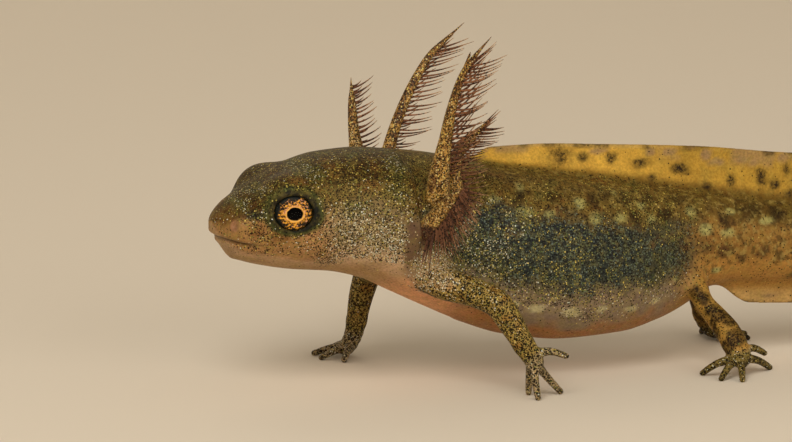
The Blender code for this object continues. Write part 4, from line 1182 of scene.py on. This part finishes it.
def skin_material():
    paint = Paint("skin")
    dark, gold, silver, navy, blotch, stains, mottled, flecks = (paint.attribute(name) for name in (
        "dark", "gold", "silver", "navy", "blotch", "stains", "mottled", "flecks"))
    ground = paint.attribute("ground", "Color")
    broad = paint.noise(0.9, 3.0)
    middle = paint.noise(2.6, 3.0, 0.6)
    fine = paint.noise(9.0, 2.0, 0.6)
    shade = paint.mix(paint.ramp(broad, 0.3, 0.7, 0.0, 0.22), ground, SHADE)
    light = paint.mix(paint.ramp(middle, 0.38, 0.72, 0.0, 0.22), shade, GOLD)
    grain = paint.mix(paint.ramp(fine, 0.3, 0.7, 0.0, 0.30), light, GRAIN)
    dusk = paint.noise(3.0, 3.0, 0.6, paint.shifted((4.0, 8.0, 2.0)))
    glow = paint.noise(3.6, 3.0, 0.6, paint.shifted((9.0, 1.0, 6.0)))
    grain = paint.mix(paint.times(paint.ramp(glow, 0.50, 0.66, 0.0, 0.55), mottled), grain, MOTTLE_LIGHT)
    grain = paint.mix(paint.times(paint.ramp(dusk, 0.50, 0.64, 0.0, 0.60), mottled), grain, MOTTLE_DARK)
    soft = paint.noise(1.25, 2.5, 0.55, paint.shifted((7.0, 3.0, 5.0), (0.9, 0.9, 1.0)), 0.2)
    limit = paint.math("SUBTRACT", 0.74, paint.times(blotch, 0.18))
    stain = paint.ramp(soft, limit, paint.math("ADD", limit, 0.12), 0.0, 0.85)
    stain = paint.times(stain, paint.ramp(blotch, 0.05, 0.3))
    speckled = paint.ramp(paint.noise(7.0, 2.0, 0.7), 0.40, 0.62, 1.0, 0.62)
    stain = paint.math("MAXIMUM", stain, paint.times(stains, speckled))
    colour = paint.mix(stain, grain, BLOTCH)
    murk = paint.noise(3.4, 2.0, 0.5, paint.shifted((11.0, 2.0, 9.0)))
    murk = paint.times(paint.ramp(murk, 0.36, 0.56), paint.times(navy, 0.95))
    colour = paint.mix(murk, colour, NAVY)
    dull, hue = paint.specks(0.086, paint.ramp(navy, 0.25, 0.65, 0.0, 0.65), 0.36, 0.62, 3.1)
    colour = paint.mix(paint.times(dull, 0.75), colour, paint.mix(hue, DULL_GREEN, DULL_TEAL))
    colour = paint.dotted(colour, BLACK, 0.94, 0.118, flecks, 0.38, 0.66, 7.7)
    colour = paint.dotted(colour, BLACK, 0.92, 0.076, dark, 0.40, 0.68)
    gilt, hue = paint.specks(0.072, gold, 0.34, 0.62, 5.3)
    gilding = paint.mix(paint.ramp(hue, 0.1, 0.7), GOLD_GREEN, GOLD)
    gilding = paint.mix(paint.ramp(hue, 0.84, 0.90), gilding, GOLD_BRIGHT)
    colour = paint.mix(paint.times(gilt, 0.85), colour, gilding)
    glint, hue = paint.specks(0.070, silver, 0.32, 0.58, 9.7)
    # The brightest few silver specks are painted glints
    silvering = paint.mix(paint.ramp(hue, 0.86, 0.92), paint.mix(hue, SILVER_WARM, SILVER), SILVER_PAINTED_GLINT)
    colour = paint.mix(paint.times(glint, 0.88), colour, silvering)
    shiny = paint.math("MAXIMUM", gilt, glint)
    paint.set(Base_Color=colour, Metallic=paint.times(shiny, 0.25))
    paint.set(Roughness=paint.ramp(fine, 0.3, 0.7, 0.46, 0.60))
    paint.set(Specular_IOR_Level=0.10, Subsurface_Weight=0.15, Subsurface_Scale=0.35 * MM)
    paint.set(Subsurface_Radius=(1.0, 0.45, 0.2))
    paint.bump(paint.math("ADD", paint.times(fine, 0.6), middle), 0.45, 0.05)
    return paint.material


def eye_material():
    paint = Paint("eyeball")
    wide, high, front = (paint.attribute(name) for name in ("iris_x", "iris_z", "front"))
    spot = paint.node("ShaderNodeCombineXYZ")
    paint.put(spot.inputs[0], wide)
    paint.put(spot.inputs[1], high)

    def ring(across, tall):
        node = paint.node("ShaderNodeVectorMath", operation="MULTIPLY")
        paint.put(node.inputs[0], spot.outputs[0])
        paint.put(node.inputs[1], (1 / across, 1 / tall, 1.0))
        size = paint.node("ShaderNodeVectorMath", operation="LENGTH")
        paint.put(size.inputs[0], node.outputs[0])
        return size.outputs["Value"]

    pupil = ring(*PUPIL)
    iris = ring(0.84, 0.78)
    wave = paint.noise(3.2, 3.0, 0.65)
    edge = paint.math("ADD", iris, paint.times(paint.math("SUBTRACT", wave, 0.5), 0.9))
    fine = paint.noise(11.0, 3.0, 0.7)
    colour = paint.mix(paint.ramp(fine, 0.38, 0.56), IRIS_BROWN, IRIS_GOLD)
    pink = paint.ramp(high, -0.3, 0.5, 0.22, 0.75)
    colour = paint.dotted(colour, IRIS_PINK, 0.85, 0.080, pink, 0.36, 0.66, 2.2)
    crowd = paint.ramp(pupil, 1.2, 2.4, 0.35, 1.0)
    black, _ = paint.specks(0.090, crowd, 0.44, 0.72)
    inner = paint.ramp(pupil, 1.18, 1.45)
    colour = paint.mix(paint.times(black, inner), colour, IRIS_BLACK)
    rays = paint.noise(7.0, 2.5, 0.6, paint.shifted((3.0, 4.0, 6.0), (1.0, 1.0, 1.3)))
    murk = paint.times(paint.ramp(rays, 0.47, 0.53), paint.ramp(pupil, 1.22, 1.7))
    colour = paint.mix(paint.times(murk, 0.92), colour, IRIS_BLACK)
    colour = paint.mix(paint.ramp(pupil, 1.30, 1.10), colour, IRIS_RING)
    colour = paint.mix(paint.ramp(edge, 0.88, 1.02), colour, EYE_RING)
    hole = paint.ramp(pupil, 1.06, 0.98)
    colour = paint.mix(hole, colour, (0, 0, 0))
    colour = paint.mix(front, EYE_RING, colour)
    paint.set(Base_Color=colour, Specular_IOR_Level=0.2)
    paint.set(Roughness=paint.math("MAXIMUM", hole, paint.ramp(fine, 0.3, 0.7, 0.40, 0.60)))
    paint.bump(paint.times(fine, inner), 0.4, 0.04)
    return paint.material


def cornea_material():
    paint = Paint("cornea")
    paint.set(Base_Color=CORNEA_COLOUR, Roughness=0.08, Alpha=0.05, Specular_IOR_Level=0.35)
    return paint.material


def gill_material():
    paint = Paint("gill")
    along, own, stalk, deep_shade = (paint.attribute(name) for name in ("along", "own", "stalk", "deep_shade"))
    middle = paint.noise(2.2, 3.0, 0.6)
    fine = paint.noise(9.0, 2.0, 0.6)
    stem = paint.mix(paint.ramp(middle, 0.40, 0.62), STALK, STALK_DARK)
    stem = paint.mix(paint.ramp(along, 0.35, 0.8, 0.0, 0.6), stem, STALK_DARK)
    parts = paint.node("ShaderNodeSeparateXYZ")
    paint.put(parts.inputs[0], paint.place)
    low = paint.ramp(parts.outputs[2], *STALK_LOW)
    stem = paint.mix(low, stem, FILAMENT_DARK)
    thread = paint.mix(own, FILAMENT, FILAMENT_DARK)
    thread = paint.mix(paint.ramp(along, 0.50, 1.0, 0.0, 0.70), thread, FILAMENT_TIP)
    colour = paint.mix(stalk, thread, stem)
    # Painted shade on the filaments deep in the mass, near the body
    colour = paint.mix(paint.times(deep_shade, 0.88), colour, FILAMENT_SHADE)
    colour = paint.dotted(colour, BLACK, 0.90, 0.082, paint.ramp(stalk, 0.0, 1.0, 0.55, 1.0), 0.46, 0.74)
    pale, hue = paint.specks(0.078, paint.times(stalk, 0.36), 0.34, 0.62, 4.1)
    pale = paint.times(pale, paint.ramp(low, 0.0, 1.0, 0.85, 0.2))
    colour = paint.mix(pale, colour, paint.mix(hue, SILVER_WARM, GOLD_BRIGHT))
    paint.set(Base_Color=colour, Roughness=paint.ramp(fine, 0.3, 0.7, 0.42, 0.60))
    paint.set(Specular_IOR_Level=0.18, Subsurface_Weight=0.12, Subsurface_Scale=0.25 * MM)
    paint.set(Subsurface_Radius=(1.0, 0.5, 0.3))
    paint.bump(fine, 0.4, 0.03)
    return paint.material


def circle(sides):
    """The cosine and sine of each of a ring's points."""
    turns = [2 * math.pi * k / sides for k in range(sides)]
    return [(math.cos(turn), math.sin(turn)) for turn in turns]


def ring_faces(rings, sides, start=0):
    """Quads between rings of points that follow one another."""
    faces = []
    for row in range(rings - 1):
        a, b = start + row * sides, start + (row + 1) * sides
        for k in range(sides):
            after = (k + 1) % sides
            faces.append((a + k, b + k, b + after, a + after))
    return faces


def closed_faces(rings, sides):
    """Faces of a closed form: its rings of points, and then a point for each end."""
    faces = ring_faces(rings, sides)
    first, last, end = rings * sides, rings * sides + 1, (rings - 1) * sides
    for k in range(sides):
        after = (k + 1) % sides
        faces += [(first, k, after), (last, end + after, end + k)]
    return faces


def tube_mesh(centres, radii, axes, sides):
    """Points and faces of a closed tube through centres. axes gives the two directions across each."""
    points = []
    for centre, radius, (across, up) in zip(centres, radii, axes):
        points += [centre + radius * (wide * across + high * up) for wide, high in circle(sides)]
    points += [centres[0], centres[-1] + (centres[-1] - centres[-2]) * 0.3]
    faces = closed_faces(len(centres), sides)
    return points, [face[:1] + face[:0:-1] for face in faces]


def carried_axes(centres, first_up):
    """Directions across a curve, carried along it without twisting."""
    ways = np.gradient(np.array(centres), axis=0)
    ways /= np.linalg.norm(ways, axis=1)[:, None]
    axes = []
    up = np.array(first_up, float)
    for way in ways:
        up = up - way * (up @ way)
        up = up / np.linalg.norm(up)
        axes.append((np.cross(way, up), up))
    return axes


class Bundle:
    """Gathers many small closed meshes into one, with a value or two for each point."""

    def __init__(self):
        self.points = []
        self.faces = []
        self.masks = {"along": [], "own": [], "stalk": [], "deep_shade": []}

    def add(self, points, faces, along, own, stalk, deep_shade=0.0):
        start = len(self.points)
        self.points += list(points)
        self.faces += [tuple(start + i for i in face) for face in faces]
        self.masks["along"] += list(along)
        for mask, value in (("own", own), ("stalk", stalk), ("deep_shade", deep_shade)):
            self.masks[mask] += [value] * len(points)

    def build(self, name):
        item = make_mesh(name, self.points, self.faces)
        for mask, values in self.masks.items():
            add_mask(item, mask, values)
        return item


def ring_shares(rings, sides):
    return [i / (rings - 1) for i in range(rings) for _ in range(sides)] + [0.0, 1.0]


def add_stalk(bundle, rows, lie, rings, sides):
    """A gill stalk: a round tube along its path, which narrows sharply near its tip."""
    path = Path(rows)
    shares = [k / (rings - 1) for k in range(rings)]
    centres = [path.at(t)[0] for t in shares]
    radii = [path.at(t)[1] * min(1.0, 0.25 + 5 * (1 - t)) for t in shares]
    axes = carried_axes(centres, lie)
    points, faces = tube_mesh(centres, radii, axes, sides)
    bundle.add(points, faces, ring_shares(rings, sides), 0.5, 1.0)


def filament_centres(root, along, way, length, curl, sag):
    """A filament leaves its stalk square to it, and curls up towards the stalk's tip."""
    spots = []
    for k in range(FILAMENT_RINGS):
        u = k / (FILAMENT_RINGS - 1)
        out = way * length * (u - 0.06 * u * u)
        rise = along * length * (curl * u ** 2.1 - sag * u * (1 - u))
        spots.append(root + out + rise)
    return spots


def add_filaments(bundle, spec, rng):
    path = Path(spec["path"])
    start, end, count = spec["rows"]
    first, last = spec["lengths"]
    low_lie, high_lie = np.array(spec["lies"], float)
    for k in range(count):
        share = k / (count - 1)
        lie = low_lie + (high_lie - low_lie) * share
        lie /= np.linalg.norm(lie)
        for turn in (LEFT, RIGHT):
            t = start + (end - start) * (k + 0.25 * turn + rng.uniform(-0.2, 0.2)) / (count - 1)
            centre, radius = path.at(t)
            along = path.direction(t)
            across = np.cross(along, lie)
            across /= np.linalg.norm(across)
            spread = spec["spread"] + rng.uniform(-0.10, 0.10)
            way = lie * math.cos(spread) + across * (turn * math.sin(spread))
            way = way + along * rng.uniform(-0.06, 0.06)
            along = along + across * rng.uniform(-0.06, 0.06)
            length = first + (last - first) * share
            length *= (1 + rng.uniform(-1, 1) * FILAMENT_VARIATION) * (0.62 + 0.38 * min(1, share * 6))
            curl = spec["curl"] * rng.uniform(0.75, 1.3)
            root = centre + way * radius * 0.45
            centres = filament_centres(root, along, way, length, curl, rng.uniform(0.02, 0.14))
            width = rng.uniform(0.85, 1.15)
            radii = np.interp(np.linspace(0, 1, FILAMENT_RINGS), np.linspace(0, 1, len(FILAMENT_RADII)),
                              FILAMENT_RADII) * width
            points, faces = tube_mesh(centres, radii, carried_axes(centres, along), FILAMENT_SIDES)
            # How much painted shade darkens this filament
            deep_shade = spec["deep_shade"] * (1 - 0.45 * share) * rng.uniform(0.6, 1.0)
            bundle.add(points, faces, ring_shares(FILAMENT_RINGS, FILAMENT_SIDES), rng.random(), 0.0, deep_shade)


def make_gill(name, spec, rng):
    bundle = Bundle()
    add_stalk(bundle, spec["path"], spec["lies"][0], STALK_RINGS, STALK_SIDES)
    if "fork" in spec:
        add_stalk(bundle, spec["fork"], spec["lies"][0], FORK_RINGS, FORK_SIDES)
    add_filaments(bundle, spec, rng)
    return bundle.build(name)


def make_eye(name, side, rings=72, sides=96):
    """Eyeball whose front is a nearly flat iris round a sunken pupil."""
    look, across, up = eye_axes(side)
    centre = on_side(EYE, side)
    points = []
    where = []
    for i in range(1, rings):
        polar = math.pi * i / rings
        for wide, high in circle(sides):
            flat = (math.sin(polar) * wide, math.sin(polar) * high)
            depth = math.cos(polar)
            away = math.hypot(*flat)
            if depth > 0:
                depth = min(depth, IRIS_FLAT + 0.10 * math.cos(away * math.pi / 2))
                pupil = math.hypot(*((flat[j] - PUPIL_SHIFT[j]) / PUPIL[j] for j in (0, 1)))
                depth -= PUPIL_DEPTH * float(step(1.03, 0.93, pupil))
                depth += 0.02 * math.exp(-((pupil - 1.16) / 0.10) ** 2)
            points.append(centre + look * depth * EYE_RADII[1] + across * flat[0] * EYE_RADII[0]
                          + up * flat[1] * EYE_RADII[2])
            front = 1.0 if math.cos(polar) > 0 else 0.0
            where.append((flat[0] - PUPIL_SHIFT[0], flat[1] - PUPIL_SHIFT[1], front))
    points += [centre + look * (IRIS_FLAT + 0.10 - PUPIL_DEPTH) * EYE_RADII[1], centre - look * EYE_RADII[1]]
    where += [(0.0, 0.0, 1.0), (0.0, 0.0, 0.0)]
    faces = closed_faces(rings - 1, sides)
    if side == RIGHT:
        faces = [face[::-1] for face in faces]
    item = make_mesh(name, points, faces)
    for mask, values in zip(("iris_x", "iris_z", "front"), zip(*where)):
        add_mask(item, mask, values)
    return item


def make_cornea(name, side, rings=20, sides=64):
    """Clear dome over the iris."""
    look, across, up = eye_axes(side)
    centre = on_side(EYE, side)
    points = [centre + look * EYE_RADII[1] * CORNEA]
    for i in range(1, rings + 1):
        polar = math.radians(CORNEA_ANGLE) * i / rings
        for wide, high in circle(sides):
            points.append(centre + CORNEA * (look * math.cos(polar) * EYE_RADII[1]
                          + across * math.sin(polar) * wide * EYE_RADII[0]
                          + up * math.sin(polar) * high * EYE_RADII[2]))
    faces = [(0, 1 + k, 1 + (k + 1) % sides) for k in range(sides)] + ring_faces(rings, sides, 1)
    if side == RIGHT:
        faces = [face[::-1] for face in faces]
    return make_mesh(name, points, faces)


def make_stage():
    """Pale round floor that sweeps up into a wall all round, further out than any camera."""
    profile = [(reach, 0.0) for reach in (*FLOOR_RINGS, FLOOR_REACH)]
    for k in range(1, SWEEP_STEPS + 1):
        turn = math.pi / 2 * k / SWEEP_STEPS
        profile.append((FLOOR_REACH + SWEEP * math.sin(turn), SWEEP * (1 - math.cos(turn))))
    profile.append((FLOOR_REACH + SWEEP, WALL_TOP))
    points = [(reach * wide, reach * high, height) for reach, height in profile
              for wide, high in circle(STAGE_SIDES)]
    faces = [tuple(range(STAGE_SIDES))] + ring_faces(len(profile), STAGE_SIDES)
    mesh = bpy.data.meshes.new("floor")
    mesh.from_pydata(points, [], faces)
    mesh.shade_smooth()
    floor = bpy.data.objects.new("floor", mesh)
    bpy.context.scene.collection.objects.link(floor)
    material = bpy.data.materials.new("floor")
    material.use_nodes = True
    nodes = material.node_tree.nodes
    shader = nodes["Principled BSDF"]
    for name, value in (("Base Color", FLOOR_COLOUR), ("Roughness", 0.9), ("Specular IOR Level", 0.15),
                        ("Emission Color", FLOOR_COLOUR)):
        shader.inputs[name].default_value = value
    reach = nodes.new("ShaderNodeVectorMath")
    reach.operation = "LENGTH"
    glow = nodes.new("ShaderNodeMapRange")
    for name, value in zip(("From Min", "From Max", "To Max"), (*WALL_GLOW_REACH, WALL_GLOW)):
        glow.inputs[name].default_value = value
    links = material.node_tree.links
    links.new(nodes.new("ShaderNodeNewGeometry").outputs["Position"], reach.inputs[0])
    links.new(reach.outputs["Value"], glow.inputs["Value"])
    links.new(glow.outputs["Result"], shader.inputs["Emission Strength"])
    mesh.materials.append(material)


def add_light(name, place, size, power, colour):
    data = bpy.data.lights.new(name, "AREA")
    data.shape = "DISK"
    data.size = size
    data.energy = power
    data.color = colour
    light = bpy.data.objects.new(name, data)
    light.location = place
    light.visible_camera = False
    light.rotation_euler = (LIGHT_TARGET - Vector(place)).to_track_quat("-Z", "Y").to_euler()
    bpy.context.scene.collection.objects.link(light)


def make_lights():
    for name, place, size, power, colour in LIGHTS:
        add_light(name, place, size, power, colour)
    world = bpy.data.worlds.new("studio")
    world.use_nodes = True
    world.node_tree.nodes["Background"].inputs["Color"].default_value = WORLD_COLOUR
    world.node_tree.nodes["Background"].inputs["Strength"].default_value = WORLD_STRENGTH
    bpy.context.scene.world = world
    bpy.context.scene.view_settings.view_transform = "Standard"


def make_camera():
    data = bpy.data.cameras.new("camera")
    data.sensor_width = SENSOR
    data.lens = LENS
    data.clip_start, data.clip_end = CLIP
    camera = bpy.data.objects.new("camera", data)
    target = Vector(VIEW_TARGET) * MM + SHIFT
    back = Vector((math.sin(VIEW_AZIMUTH) * math.cos(VIEW_ELEVATION),
                   -math.cos(VIEW_AZIMUTH) * math.cos(VIEW_ELEVATION), math.sin(VIEW_ELEVATION)))
    camera.location = target + back * VIEW_DISTANCE
    camera.rotation_euler = (-back).to_track_quat("-Z", "Y").to_euler()
    bpy.context.scene.collection.objects.link(camera)
    bpy.context.scene.camera = camera


def main():
    skin = make_skin()
    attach(skin, "root")
    flesh = [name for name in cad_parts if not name.startswith(("gill", "eye"))]
    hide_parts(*flesh)
    iris = eye_material()
    glass = cornea_material()
    for side, word in ((LEFT, "left"), (RIGHT, "right")):
        eye = make_eye("eyeball_" + word, side)
        eye.data.materials.append(iris)
        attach(eye, "root")
        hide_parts("eye_" + word)
        cornea = make_cornea("cornea_" + word, side)
        cornea.data.materials.append(glass)
        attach(cornea, "root")
    rng = random.Random(GILL_SEED)
    fringe = gill_material()
    for name, spec in GILLS.items():
        gill = make_gill(name + "_fringe", spec, rng)
        gill.data.materials.append(fringe)
        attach(gill, "root")
        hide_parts(name)
    make_stage()
    make_lights()
    make_camera()


main()
